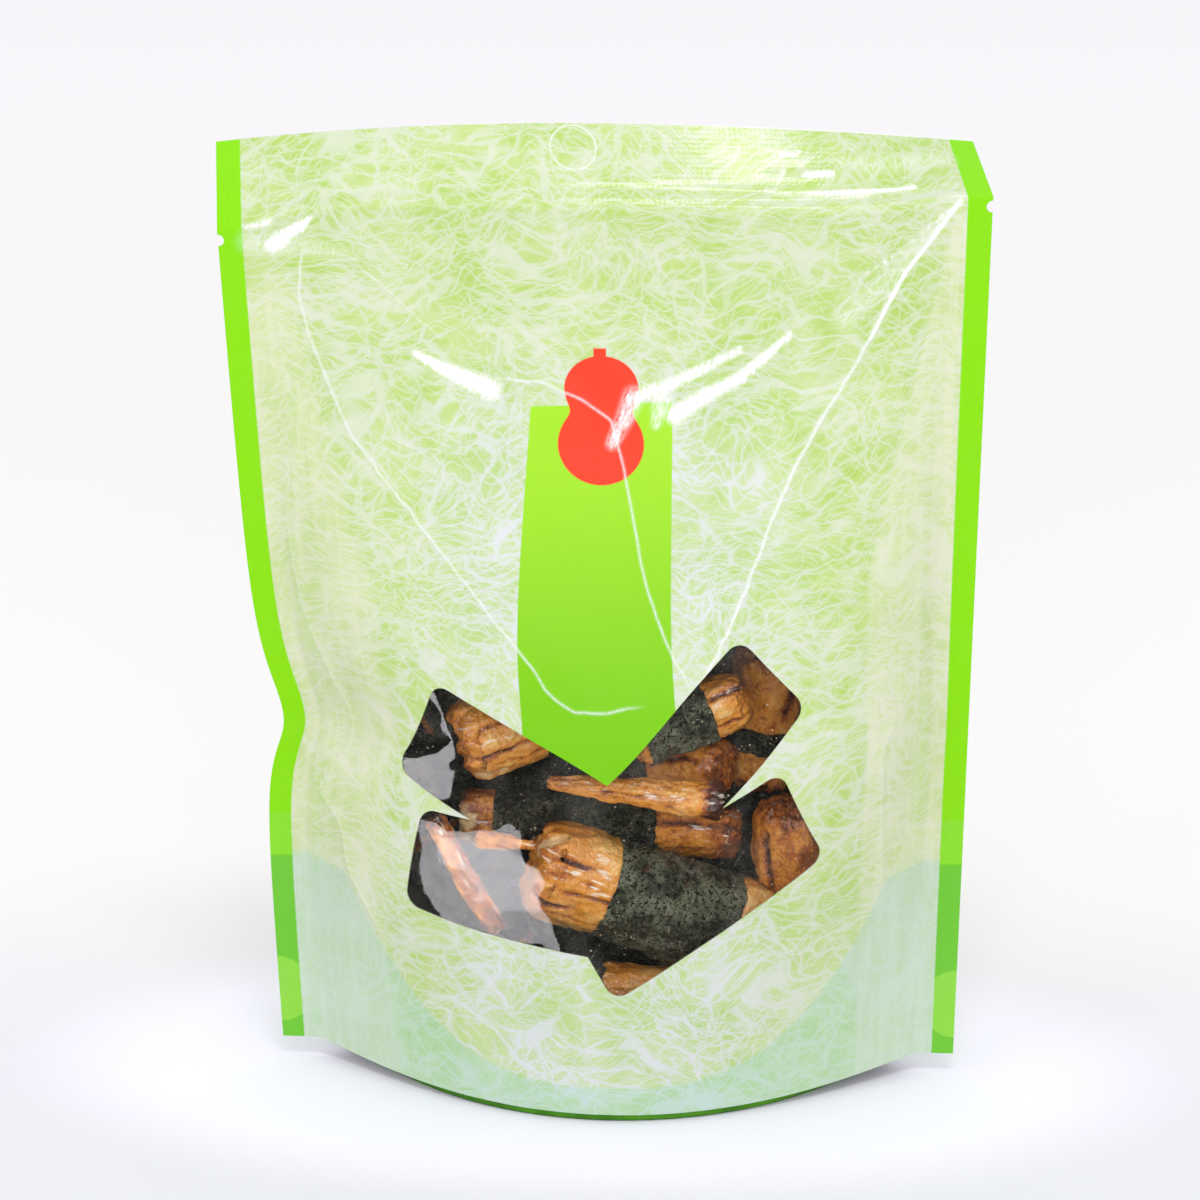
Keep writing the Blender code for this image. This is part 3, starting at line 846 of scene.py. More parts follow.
@dataclass(frozen=True)
class Cutter:
    """Cuts the flat sheet into fine triangles that follow its lines."""

    spacing: float = 0.00105
    clearance: float = 0.00050
    rail_gaps: tuple[float, ...] = (0.00020, 0.00055)
    rail_step: float = 0.0009

    def grid(self) -> np.ndarray:
        """Even points over the sheet, with its edges."""
        row_gap = self.spacing * math.sqrt(3) / 2
        rows = round(SHEET.height / row_gap)
        columns = round(SHEET.width / self.spacing)
        points = []
        for row in range(rows + 1):
            t = SHEET.height * row / rows
            shift = 0.5 * (row % 2)
            s = (np.arange(columns + 1) + shift) / columns * SHEET.width - SHEET.half
            s = np.concatenate([s[s < SHEET.half - 1e-6], [-SHEET.half, SHEET.half]])
            points.append(np.stack([s, np.full(len(s), t)], axis=1))
        return np.unique(np.round(np.concatenate(points), 7), axis=0)

    def resampled(self, path: np.ndarray) -> np.ndarray:
        """Points at even steps along a path."""
        runs = np.linalg.norm(np.diff(path, axis=0), axis=1)
        starts = np.concatenate([[0.0], np.cumsum(runs)])
        places = np.linspace(0.0, starts[-1], max(int(starts[-1] / self.rail_step), 2))
        return np.stack([np.interp(places, starts, path[:, axis]) for axis in (0, 1)], axis=1)

    def rails(self, path: np.ndarray) -> list[np.ndarray]:
        """Lines beside a path, so that its ridge stays crisp."""
        middle = self.resampled(path)
        run = np.gradient(middle, axis=0)
        side = np.stack([-run[:, 1], run[:, 0]], axis=1) / np.linalg.norm(run, axis=1, keepdims=True)
        lines = [middle]
        for gap in self.rail_gaps:
            lines += [middle + side * gap, middle - side * gap]
        return lines

    def cut(self, window: Window | None, notches: Notch, creases: tuple[Crease, ...]) -> FlatMesh:
        """Triangulate the sheet.

        Args:
            window: the clear window, or None for a whole panel.
            notches: the tear notches.
            creases: the creases that the mesh follows.

        Returns:
            The triangles of the printed and the clear film.
        """
        loops = [notches.outline(-1), notches.outline(1)]
        if window:
            loops.append(window.outline())
        loose = [rail for crease in creases for rail in self.rails(crease.corners())]
        free = np.concatenate(loose) if loose else np.empty((0, 2))
        grid = self.grid()
        for line in [np.concatenate([loop, loop[:1]]) for loop in loops]:
            grid = grid[path_distance(grid, line)[0] > self.clearance]
            if len(free):
                free = free[path_distance(free, line)[0] > self.clearance * 0.6]
        for crease in creases:
            grid = grid[path_distance(grid, crease.corners())[0] > self.rail_gaps[-1] + self.clearance]
        corners, edges = [], []
        for loop in loops:
            base = len(corners)
            corners += loop.tolist()
            edges += [(base + index, base + (index + 1) % len(loop)) for index in range(len(loop))]
        every = np.concatenate([np.array(corners), grid, free]) / MM
        result = geometry.delaunay_2d_cdt([Vector(point) for point in every.tolist()], edges, [], 0, 1e-4)
        points = np.array([tuple(point) for point in result[0]]) * MM
        faces = np.array([face for face in result[2] if len(face) == 3])
        middles = points[faces].mean(axis=1)
        kept = np.abs(middles[:, 0]) < SHEET.half
        for loop in loops[:2]:
            kept &= ~inside_outline(middles, loop)
        area = np.cross(points[faces[:, 1]] - points[faces[:, 0]], points[faces[:, 2]] - points[faces[:, 0]])
        kept &= np.abs(area) > 1e-12
        faces = np.where(area[:, None] < 0, faces[:, ::-1], faces)[kept]
        seen = inside_outline(middles[kept], loops[2]) if window else np.zeros(len(faces), bool)
        return FlatMesh(points, faces[~seen], faces[seen])


# ------------------------------------------------------------ film finishes
@dataclass(frozen=True)
class PrintFinish:
    """The printed film: washi fibres on green, with plain fields of colour, and painted light: white glare patches and
    pale cream sides.
    """

    dense: Colour = linear(161, 200, 50)
    pale: Colour = linear(185, 211, 106)
    strand: Colour = linear(217, 219, 211)
    cool_strand: Colour = linear(216, 216, 228)
    # pale cream of the sides: painted light showing through the thin film
    painted_glow_cream: Colour = linear(223, 223, 196)
    mint: Colour = linear(160, 205, 186)
    pearl: Colour = linear(212, 220, 216)
    stripe: Colour = linear(136, 217, 24)
    stripe_low: Colour = linear(113, 195, 60)
    stripe_band: Colour = linear(139, 214, 62)
    tack: Colour = linear(142, 212, 74)
    banner_high: Colour = linear(163, 221, 48)
    banner_low: Colour = linear(119, 194, 28)
    seal_red: Colour = linear(239, 68, 45)
    white: Colour = (0.82, 0.82, 0.84)
    # white of the painted glare highlights
    painted_glare: Colour = (0.92, 0.93, 0.94)
    stripe_edge: float = 70.2
    gusset_top: float = 41.0
    band_top: float = 50.5

    def fibres(self, place: Wire) -> Wire:
        """Coverage of the fibres over the ground, 0 to 1.

        Args:
            place: flat place in millimetres.

        Returns:
            The coverage.
        """
        bent = place.moved(place.noise_vector(0.035, 1.0), 15.0)
        curled = bent.moved(bent.noise_vector(0.13, 1.0), 4.2)
        frayed = curled.moved(curled.noise_vector(0.55, 1.0), 0.60)
        layers = (
            # turn, along, across, half width, strength, mask scale
            (0.10, 0.052, 0.230, 0.165, 0.86, 0.050),
            (-0.35, 0.058, 0.260, 0.145, 0.80, 0.065),
            (0.60, 0.058, 0.250, 0.145, 0.74, 0.055),
            (-0.95, 0.064, 0.240, 0.125, 0.62, 0.045),
            (0.02, 0.120, 0.560, 0.095, 0.66, 0.070),
            (0.48, 0.130, 0.580, 0.090, 0.60, 0.085),
            (-0.62, 0.130, 0.540, 0.090, 0.60, 0.075),
        )
        bare: Wire | float = 1.0
        for index, (turn, along, across, half_width, strength, mask_scale) in enumerate(layers):
            where = frayed.moved((31.0 * index, 17.0 * index, 0.0)).turned(turn).scaled(along, across)
            gap = where.cracks(1.0) / (across * half_width)
            line = gap.ease(1.35, 0.55) * 0.76 + gap.ease(5.0, 0.0) * 0.18
            mask = place.moved((13.0 * index, 29.0 * index, 0.0)).noise(mask_scale, 1.5).ease(0.38, 0.58)
            bare = (1.0 - line * (mask * 0.86 + 0.14) * strength) * bare
        bundles = (
            # turn, along, across, half width, strength
            (0.25, 0.036, 0.090, 0.022, 0.86),
            (-0.55, 0.040, 0.105, 0.020, 0.78),
        )
        for index, (turn, along, across, half_width, strength) in enumerate(bundles):
            where = frayed.moved((47.0 * index, 23.0, 0.0)).turned(turn).scaled(along, across)
            away = abs(where.noise(1.0, 1.0) - 0.5) / half_width
            width = place.moved((7.0, 31.0 * index, 0.0)).noise(0.060, 1.0).ease(0.44, 0.62)
            line = away.ease(1.3, 0.6) * 0.76 + away.ease(4.0, 0.0) * 0.16
            bare = bare * (1.0 - line * width * strength)
        return 1.0 - bare

    def ground(self, place: Wire, s: Wire, t: Wire) -> Wire:
        """Fibrous green ground with its paler sides, painted pale cream for light through the thin film there, and its
        base band.
        """
        cloud = place.noise(0.060, 5.0, 0.62).ease(0.34, 0.64)
        speckle = place.noise(1.3, 3.0, 0.6).ease(0.35, 0.7)
        ground = (cloud * 0.74 + speckle * 0.26).tint(self.dense, self.pale)
        cool = (abs(s) / 46.0).ease(1.15, 0.35) * t.ease(160.0, 125.0)
        strands = cool.tint(self.strand, self.cool_strand)
        veil = self.fibres(place)
        coloured = (veil * 0.62 + cloud * 0.07 + cool * 0.10 + 0.13).tint(ground, strands)
        # Painted light: the sides near the seals are tinted pale cream for the light that shows through the thin film
        # there.
        left_edge = ((129.0 - t) * 0.22 - 54.5).least(-48.0)
        left = (left_edge - s).ease(-2.5, 2.5) * t.ease(176.0, 160.0)
        right_edge = 68.4 - (177.2 - t) * 0.217
        right = (s - right_edge.most(53.0)).ease(-0.5, 0.9) * t.ease(178.0, 174.0)
        streak = place.scaled(0.42, 0.035).noise(1.0, 2.0).ease(0.42, 0.68)
        sides = left.most(right) * (0.34 + streak * 0.20)
        coloured = sides.tint(coloured, self.painted_glow_cream)
        rise = (abs(s - 1.0) / 58.0).maths("POWER", 3.2) * 36.0 + 6.0
        below = (rise.least(42.0) - t).ease(-0.6, 0.9)
        coloured = (below * 0.42).tint(coloured, self.mint)
        edges = abs(s).ease(34.0, 58.0) * t.ease(48.0, 36.0) * (streak * 0.5 + 0.5)
        return (edges * 0.28).tint(coloured, self.pearl)

    def stripes(self, s: Wire, t: Wire) -> tuple[Wire, Wire]:
        """Where the side stripes lie, and their colour."""
        place = abs(s)
        where = place.ease(self.stripe_edge - 0.15, self.stripe_edge + 0.15)
        colour = t.ease(self.gusset_top + 0.3, self.gusset_top - 0.3).tint(self.stripe, self.stripe_low)
        band = t.ease(self.band_top + 0.4, self.band_top - 0.4) * t.ease(self.gusset_top, self.gusset_top + 0.4)
        colour = (band * 0.65).tint(colour, self.stripe_band)
        across = place - SHEET.half / MM
        along = t - 10.8
        away = (across * across + along * along).maths("SQRT")
        return where, away.ease(7.5, 7.1).tint(colour, self.tack)

    def banner(self, s: Wire, t: Wire) -> tuple[Wire, Wire]:
        """Where the banner lies, and its colour, paler at the top."""
        left = s - ((t - 78.6) * 0.0728 - 19.1)
        right = 13.6 - s
        top = 140.4 + (s + 14.6) * 0.047 - t
        where = left.ease(-0.12, 0.12) * right.ease(-0.12, 0.12) * top.ease(-0.12, 0.12)
        where = where * t.ease(60.0, 60.5)
        return where, t.ease(70.0, 146.0).tint(self.banner_low, self.banner_high)

    def gourd(self, s: Wire, t: Wire) -> Wire:
        """Where the plain red seal lies: two joined rounds and a stem."""
        upper = self.oval(s + 0.5, t - 144.1, 7.35, 6.35)
        lower = self.oval(s + 0.6, t - 133.3, 8.6, 7.9)
        joined = upper.maths("SMOOTH_MIN", lower, 0.55)
        stem = (abs(s + 0.8) - 1.25).most(abs(t - 150.6) - 1.3)
        return joined.ease(0.018, -0.018).most(stem.ease(0.1, -0.1))

    @staticmethod
    def oval(across: Wire, along: Wire, wide: float, tall: float) -> Wire:
        """Distance outside an oval, in its radii."""
        first, second = across / wide, along / tall
        return (first * first + second * second).maths("SQRT") - 1.0

    def make(self, side: Side) -> Finish:
        """The material of one printed panel."""
        finish = Finish(f"printed_{side.name.lower()}")
        s, t, place = finish.flat()
        colour = self.ground(place, s, t)
        if side is Side.FRONT:
            where, banner = self.banner(s, t)
            colour = where.tint(colour, banner)
            colour = self.gourd(s, t).tint(colour, self.seal_red)
        where, stripe = self.stripes(s, t)
        colour = where.tint(colour, stripe)
        ring = (self.oval(s + 4.6, t - 191.1, 4.5, 4.5) * 4.5).maths("ABSOLUTE")
        colour = (ring.ease(0.28, 0.10) * 0.5).tint(colour, self.white)
        scuffed = place.noise(1.6, 3.0, 0.7).ease(0.28, 0.55)
        colour = (finish.read("whitening") * (0.45 + scuffed * 0.45)).tint(colour, self.white)
        # Painted highlight: glare patches painted white into the print, with frayed edges.
        threads = place.turned(0.3).scaled(1.9, 0.5).noise(1.0, 3.0, 0.7)
        painted_glare = finish.read("sheen")
        frayed = (threads - 0.5) * (1.0 - painted_glare) * painted_glare.ease(0.24, 0.50) * 2.2 + painted_glare
        colour = (frayed.ease(0.12, 0.84) * painted_glare.ease(0.02, 0.30)).tint(colour, self.painted_glare)
        finish.feed("Base Color", colour)
        finish.feed("Roughness", place.noise(0.12, 3.0).ease(0.2, 0.8, 0.10, 0.20))
        sealed = abs(s).ease(67.5, 68.5).most(t.ease(177.0, 178.5))
        grain = place.noise(0.9, 3.0) * 0.35
        finish.bump(grain + sealed * self.knurl(s, t) * 0.4, 0.00005, 0.5)
        finish.fix(IOR=1.48, Specular_IOR_Level=0.34)
        return finish

    @staticmethod
    def knurl(s: Wire, t: Wire) -> Wire:
        """Fine square grid pressed into the seals."""
        return s.maths("PINGPONG", 0.5).ease(0.1, 0.4) * t.maths("PINGPONG", 0.5).ease(0.1, 0.4) * 1.4


@dataclass(frozen=True)
class ClearFinish:
    """The clear film: mirrors a little, and shows what lies behind."""

    gloss: float = 0.02
    facing: float = 0.026               # share mirrored by one face, seen straight on
    dust: Colour = linear(210, 206, 200)

    def make(self) -> Finish:
        """The material of the window."""
        finish = Finish("clear_film")
        tree = finish.tree
        tree.nodes.remove(finish.shader)
        _, _, place = finish.flat()
        clear = tree.nodes.new("ShaderNodeBsdfTransparent")
        mirror = tree.nodes.new("ShaderNodeBsdfGlossy")
        mirror.inputs["Roughness"].default_value = self.gloss
        slant = Wire(tree, tree.nodes.new("ShaderNodeLayerWeight").outputs["Facing"])
        share = slant.maths("POWER", 5.0) * (1 - self.facing) + self.facing
        first = self.mixed(tree, share.socket, clear.outputs[0], mirror.outputs[0])
        haze = tree.nodes.new("ShaderNodeBsdfDiffuse")
        haze.inputs["Color"].default_value = (*self.dust, 1.0)
        scratch = place.turned(0.5).scaled(3.4, 0.12).noise(1.0, 1.0).ease(0.73, 0.82)
        amount = scratch * 0.06 + place.noise(0.08, 2.0).ease(0.45, 0.75) * 0.02 + 0.004
        last = self.mixed(tree, amount.socket, first, haze.outputs[0])
        tree.links.new(last, finish.output.inputs["Surface"])
        return finish

    @staticmethod
    def mixed(
        tree: bpy.types.NodeTree,
        share: bpy.types.NodeSocket,
        first: bpy.types.NodeSocket,
        second: bpy.types.NodeSocket,
    ) -> bpy.types.NodeSocket:
        """Output of a Mix Shader over two shaders."""
        node = tree.nodes.new("ShaderNodeMixShader")
        for index, socket in enumerate((share, first, second)):
            tree.links.new(socket, node.inputs[index])
        return node.outputs[0]


@dataclass(frozen=True)
class GussetFinish:
    """Plain green film of the base, painted dark green for the shade that it lies in under the panels."""

    # painted shade: darker greens for the film in the shade under the panels
    green: Colour = linear(84, 150, 34)
    deep: Colour = linear(62, 120, 26)

    def make(self) -> Finish:
        """The material of the gusset."""
        finish = Finish("gusset_film")
        place = finish.place()
        finish.feed("Base Color", place.noise(0.12, 3.0).ease(0.3, 0.7).tint(self.green, self.deep))
        finish.feed("Roughness", place.noise(0.2, 2.0).ease(0.2, 0.8, 0.18, 0.30))
        finish.bump(place.noise(0.5, 3.0), 0.0001, 0.4)
        return finish


def lining() -> bpy.types.Material:
    """The material of the film's inner face: pale and silvery."""
    finish = Finish("film_lining")
    place = finish.place()
    finish.feed("Base Color", place.noise(0.15, 1.0).tint(linear(222, 226, 224), linear(236, 238, 234)))
    finish.feed("Roughness", place.noise(0.4, 1.0).ease(0.3, 0.7, 0.30, 0.45))
    return finish.material


LINING = lining()


# -------------------------------------------------------------- food finishes
@dataclass(frozen=True)
class CrustFinish:
    """Soy-glazed crust: dark folds, golden skin, tan crests, pale broken places and painted glints of highlight."""

    char: Colour = linear(70, 28, 12)
    brown: Colour = linear(176, 94, 28)
    gold: Colour = linear(230, 150, 50)
    crest: Colour = linear(246, 196, 112)
    broken: Colour = linear(238, 202, 146)
    # white of the painted glints
    painted_glint_colour: Colour = linear(255, 247, 230)

    def make(self) -> Finish:
        """The material of the rice crackers."""
        finish = Finish("glazed_crust")
        place = finish.place()
        grained = finish.skin()
        streak = grained.scaled(0.10, 0.34).noise(1.0, 3.0, 0.55)
        blotch = place.noise(0.26, 4.0, 0.66)
        grain = place.noise(1.7, 3.0, 0.6)
        tone = finish.read("tone") + (streak - 0.5) * 0.42 + (blotch - 0.5) * 0.90 + (grain - 0.5) * 0.70
        colour = tone.ease(0.02, 0.36).tint(self.char, self.brown)
        colour = tone.ease(0.30, 0.62).tint(colour, self.gold)
        colour = tone.ease(0.62, 1.05).tint(colour, self.crest)
        specks = place.noise(2.6, 1.0).ease(0.68, 0.76)
        colour = (specks * 0.55).tint(colour, self.char)
        broken = finish.read("raw") * (grain * 0.6 + blotch * 0.4).ease(0.26, 0.50)
        colour = (broken * 0.9).tint(colour, self.broken)
        # Painted highlight: pale glints painted into the colour where the skin faces halfway between the camera and
        # the glint lights.
        glints = grained.scaled(0.22, 0.80).noise(1.0, 3.0, 0.62).ease(0.55, 0.66)
        painted_glint = finish.read("gloss") * glints * place.noise(0.20, 1.0).ease(0.40, 0.56)
        colour = (painted_glint * 0.85).tint(colour, self.painted_glint_colour)
        finish.feed("Base Color", colour)
        finish.feed("Roughness", place.noise(0.6, 3.0).ease(0.3, 0.7, 0.26, 0.46) + broken * 0.35)
        wrinkles = grained.scaled(0.16, 0.42).noise(1.0, 3.0, 0.55)
        pores = place.noise(0.9, 3.0, 0.58)
        finish.bump(wrinkles * 0.45 + pores * 0.70 + grain * 0.22, 0.0010, 0.85)
        finish.fix(Coat_Weight=1.0, Coat_Roughness=0.10, Coat_IOR=1.6, IOR=1.50)
        return finish


@dataclass(frozen=True)
class NoriFinish:
    """Dried seaweed: near black and crinkled, with grey-green mottling, pale highlights painted on its crinkle ridges
    and stray crumbs; bands that lie deeper are painted darker.
    """

    black: Colour = linear(13, 16, 14)
    green: Colour = linear(84, 90, 60)
    painted_crinkle_glint: Colour = linear(172, 178, 148)
    crumb: Colour = linear(160, 96, 48)

    def make(self) -> Finish:
        """The material of the nori."""
        finish = Finish("dried_nori")
        place = finish.place()
        # Painted light: lit scales the green mottling and the crinkle highlights, so bands that lie deeper are painted
        # darker.
        lit = finish.read("lit")
        mottle = place.noise(0.80, 4.0, 0.68)
        bent = place.moved(place.noise_vector(0.8, 2.0), 1.8)
        ridge = 1.0 - abs(bent.noise(0.80, 4.0, 0.72) - 0.5) * 6.5
        veins = ridge.ease(0.30, 1.0)
        colour = (mottle.ease(0.42, 0.70) * lit).tint(self.black, self.green)
        patchy = place.noise(0.26, 2.0).ease(0.36, 0.62)
        # painted highlight: pale grey-green glints on the crinkle ridges
        colour = (veins * (patchy * 0.80 + 0.20) * lit).tint(colour, self.painted_crinkle_glint)
        stray = place.noise(0.35, 2.0).ease(0.64, 0.74) * place.noise(2.2, 1.0).ease(0.48, 0.6)
        colour = (stray * 0.7).tint(colour, self.crumb)
        finish.feed("Base Color", colour)
        finish.feed("Roughness", mottle.ease(0.3, 0.7, 0.14, 0.32))
        finish.bump(veins * 0.5 + mottle * 1.1, 0.0014, 1.0)
        finish.fix(IOR=1.48)
        return finish


@dataclass(frozen=True)
class CrumbFinish:
    """Pale crumbs and dust of rice."""

    light: Colour = linear(236, 222, 196)
    dark: Colour = linear(196, 150, 98)

    def make(self) -> Finish:
        """The material of the crumbs."""
        finish = Finish("crumb")
        place = finish.place()
        finish.feed("Base Color", place.noise(0.4, 2.0).ease(0.4, 0.6).tint(self.light, self.dark))
        finish.feed("Roughness", place.noise(1.0, 2.0).ease(0.3, 0.7, 0.45, 0.75))
        finish.bump(place.noise(8.0, 2.0), 0.00005, 0.6)
        return finish


# --------------------------------------------------------------- the crackers
class End(Enum):
    """How a cracker ends."""

    ROUND = "round"
    TORN = "torn"
    BURNT = "burnt"


PAINTED_GLINT_FACING = (0.04, -0.89, 0.45)             # the way that the skin faces where a glint is painted: halfway between the camera and the glint lights


@dataclass(frozen=True)
class Groove:
    """A fold along a cracker: angles in degrees up from the side that faces front."""

    angle: float
    slant: float
    start: float
    stop: float
    depth: float
    width: float


@dataclass(frozen=True)
class Chip:
    """A place where the crust broke off: degrees up, and millimetres along and wide."""

    angle: float
    along: float
    reach: float


@dataclass(frozen=True)
class Stick:
    """One rice cracker and its band of nori, in metres.  Grooves are its folds."""

    name: str
    start: tuple[float, float, float]
    end: tuple[float, float, float]
    radius: float
    band: tuple[float, float] | None
    seed: int
    tone: float = 0.55
    ends: tuple[End, End] = (End.TORN, End.ROUND)
    grooves: tuple[Groove, ...] = ()
    chips: tuple[Chip, ...] = ()
    taper: tuple[float, float] = (1.0, 1.0)
    # painted light: how brightly each nori band is painted, lower for bands that lie deeper
    nori_painted_light: float = 0.55
    sides: int = 120
    rings: int = 130
    cap_rings: int = 12
    nori_lift: float = 0.0003
    rim_share: float = 0.30
    squeeze: float = 0.92
    bark: float = 0.00040
    packed: bool = True

    @property
    def length(self) -> float:
        """Length between the two ends."""
        return float(np.linalg.norm(np.subtract(self.end, self.start)))

    def axes(self) -> tuple[np.ndarray, np.ndarray, np.ndarray]:
        """Unit directions: along the cracker, towards the front, and up."""
        along = np.subtract(self.end, self.start) / self.length
        front = np.array([0.0, -1.0, 0.0]) - along * -along[1]
        front /= np.linalg.norm(front)
        top = np.cross(front, along)
        return along, front, top if top[2] > 0 else -top

    def outline(self, far: np.ndarray, angle: np.ndarray) -> np.ndarray:
        """Radius of the puffed form at distances along and angles around it."""
        noise = Noise(self.seed)
        place = np.stack([far / 0.011, np.cos(angle) * 0.8, np.sin(angle) * 0.8], axis=1)
        lumps = 0.085 * noise.layered(place, 3, 0.45)
        section = 0.935 + 0.045 * np.cos(2 * angle + self.seed) + 0.02 * np.cos(3 * angle + 2.1 * self.seed)
        swell = 1 + 0.05 * np.sin(np.pi * far / self.length)
        swell = swell * mix(self.taper[0], self.taper[1], np.clip(far / self.length, 0, 1))
        return self.radius * (section * swell + lumps)

    def folds(self, far: np.ndarray, angle: np.ndarray) -> np.ndarray:
        """Depth of the grooves, in metres."""
        share = far / self.length
        depth = np.zeros(len(far))
        wander = Noise(self.seed + 50)
        for number, groove in enumerate(self.grooves):
            sway = 0.16 * wander.at(np.stack([share * 7, np.full(len(far), number * 3.1), share * 0], axis=1))
            middle = math.radians(groove.angle) + math.radians(groove.slant) * share + sway
            turn = np.angle(np.exp(1j * (angle - middle))) * self.radius / groove.width
            reach = smooth(groove.start - 0.06, groove.start + 0.04, share)
            reach = reach * smooth(groove.stop + 0.06, groove.stop - 0.04, share)
            depth = np.maximum(depth, groove.depth * reach * np.exp(-(turn ** 2)))
        return depth

    def broken(self, far: np.ndarray, angle: np.ndarray) -> np.ndarray:
        """Share of the crust that broke off, 0 to 1, with ragged borders."""
        lost = np.zeros(len(far))
        if not self.chips:
            return lost
        ragged = Noise(self.seed + 77)
        place = np.stack([far / 0.0016, np.cos(angle) * self.radius / 0.0016, np.sin(angle) * self.radius / 0.0016])
        border = 0.45 * ragged.layered(place.T, 3, 0.6)
        for chip in self.chips:
            turn = np.angle(np.exp(1j * (angle - math.radians(chip.angle)))) * self.radius
            away = np.hypot(turn, far - chip.along * MM) / (chip.reach * MM)
            lost = np.maximum(lost, smooth(1.12, 0.82, away + border))
        return lost

    def profile(self) -> tuple[np.ndarray, np.ndarray, np.ndarray]:
        """Distance along, share of the radius, and which end's cap (-1, 0 or 1), for each ring."""
        rim = self.rim_share * self.radius
        shares = np.linspace(0.10, 1.0, self.cap_rings)
        flat = 0.55
        over = np.clip((shares - flat) / (1 - flat), 0, 1)
        dip = rim * (1 - np.sqrt(1 - over ** 2))
        middle = np.linspace(rim, self.length - rim, self.rings)[1:-1]
        far = np.concatenate([dip, middle, (self.length - dip)[::-1]])
        part = np.concatenate([shares, np.ones(len(middle)), shares[::-1]])
        cap = np.concatenate([-np.ones(len(shares)), np.zeros(len(middle)), np.ones(len(shares))])
        return far, part, cap

    def crust(self) -> tuple[np.ndarray, list, dict[str, np.ndarray]]:
        """Points, faces and marks of the baked stick."""
        far_row, part_row, cap_row = self.profile()
        turns = np.linspace(0, 2 * np.pi, self.sides, endpoint=False)
        far = np.repeat(far_row, self.sides)
        part = np.repeat(part_row, self.sides)
        cap = np.repeat(cap_row, self.sides)
        angle = np.tile(turns, len(far_row))
        body = self.outline(far, angle)
        folds = self.folds(far, angle) * smooth(0.55, 1.0, part)
        lost = self.broken(far, angle)
        around = np.stack([np.cos(angle) * body * part, np.sin(angle) * body * part], axis=1)
        noise = Noise(self.seed + 9)
        barky = noise.layered(np.stack([far / 0.0080, around[:, 0] / 0.0036, around[:, 1] / 0.0036], axis=1), 3, 0.52)
        rough = noise.layered(np.column_stack([far, around]) / 0.0021 + 40.0, 3, 0.55)
        relief = self.bark * (barky + 0.55 * rough)
        covered = np.zeros(len(far))
        if self.band:
            low, high = self.band
            share = far / self.length
            covered = smooth(low - 0.01, low + 0.015, share) * smooth(high + 0.01, high - 0.015, share)
        radial = body * (1 - 0.02 * covered) + (relief - folds - 0.0006 * lost) * (1 - covered)
        radial *= part
        near_start = smooth(0.30, 0.0, far / self.length)
        near_end = smooth(0.70, 1.0, far / self.length)
        jag = Noise(self.seed + 21)
        spot = np.stack([np.cos(angle) * 2.6 * part, np.sin(angle) * 2.6 * part, cap * 5], axis=1)
        spiky = jag.layered(spot, 3, 0.6)
        shift = 0.13 * self.radius * spiky * (near_start ** 2 + near_end ** 2)
        raw = lost.copy()
        burnt = np.zeros(len(far))
        for which, end in zip((-1, 1), self.ends):
            in_cap = (cap == which) & (part < 0.999)
            edge = near_start if which < 0 else near_end
            if end is not End.ROUND:
                shift += -which * 0.16 * self.radius * np.where(in_cap, 1 - part ** 2, 0.0)
            if end is End.TORN:
                raw = np.maximum(raw, np.where(in_cap, smooth(1.0, 0.72, part), 0.0) * (edge > 0.5))
            if end is End.BURNT:
                burnt = np.maximum(burnt, smooth(0.45, 0.95, edge + 0.25 * spiky))
        far_now = far + shift
        along, front, top = self.axes()
        points = np.array(self.start) + far_now[:, None] * along
        points += (radial * np.cos(angle))[:, None] * front
        points += (radial * np.sin(angle) * self.squeeze)[:, None] * top
        tone = self.tone + 0.12 + 0.20 * (barky * 0.8 + rough * 0.5) - 0.80 * folds / 0.0012
        tone += 0.10 * np.clip(spiky, -1, 1) * (near_start + near_end) - 0.26 * (near_start ** 3 + near_end ** 3)
        tone -= 0.55 * burnt
        wrapped = np.angle(np.exp(1j * angle)) * self.radius / MM
        # gloss marks where glints are painted into the crust's colour, a painted highlight
        marks = {"tone": tone, "raw": raw, "along": far / MM, "around": wrapped * part,
                 "own": np.full(len(far), self.seed * 3.7), "gloss": self.gloss(angle, front, top)}
        rows = len(far_row)
        faces = self.ring_faces(rows)
        for row, way in ((0, 1), (rows - 1, -1)):
            ring = list(range(row * self.sides, (row + 1) * self.sides))
            centre = len(points)
            points = np.vstack([points, points[ring].mean(axis=0)])
            marks = {name: np.append(values, values[ring].mean()) for name, values in marks.items()}
            faces += [(ring[index], ring[(index + way) % self.sides], centre)[::-1] for index in range(self.sides)]
        return points, faces, marks

    @staticmethod
    def gloss(angle: np.ndarray, front: np.ndarray, top: np.ndarray) -> np.ndarray:
        """How strongly a glint is painted on the skin: most where it faces forwards and up."""
        outward = np.cos(angle)[:, None] * front + np.sin(angle)[:, None] * top
        return smooth(0.80, 0.98, outward @ np.array(PAINTED_GLINT_FACING))

    def ring_faces(self, rows: int) -> list:
        """Faces between neighbouring rings."""
        faces = []
        for row in range(rows - 1):
            for side in range(self.sides):
                after = (side + 1) % self.sides
                low, high = row * self.sides, (row + 1) * self.sides
                faces.append((low + side, low + after, high + after, high + side))
        return faces

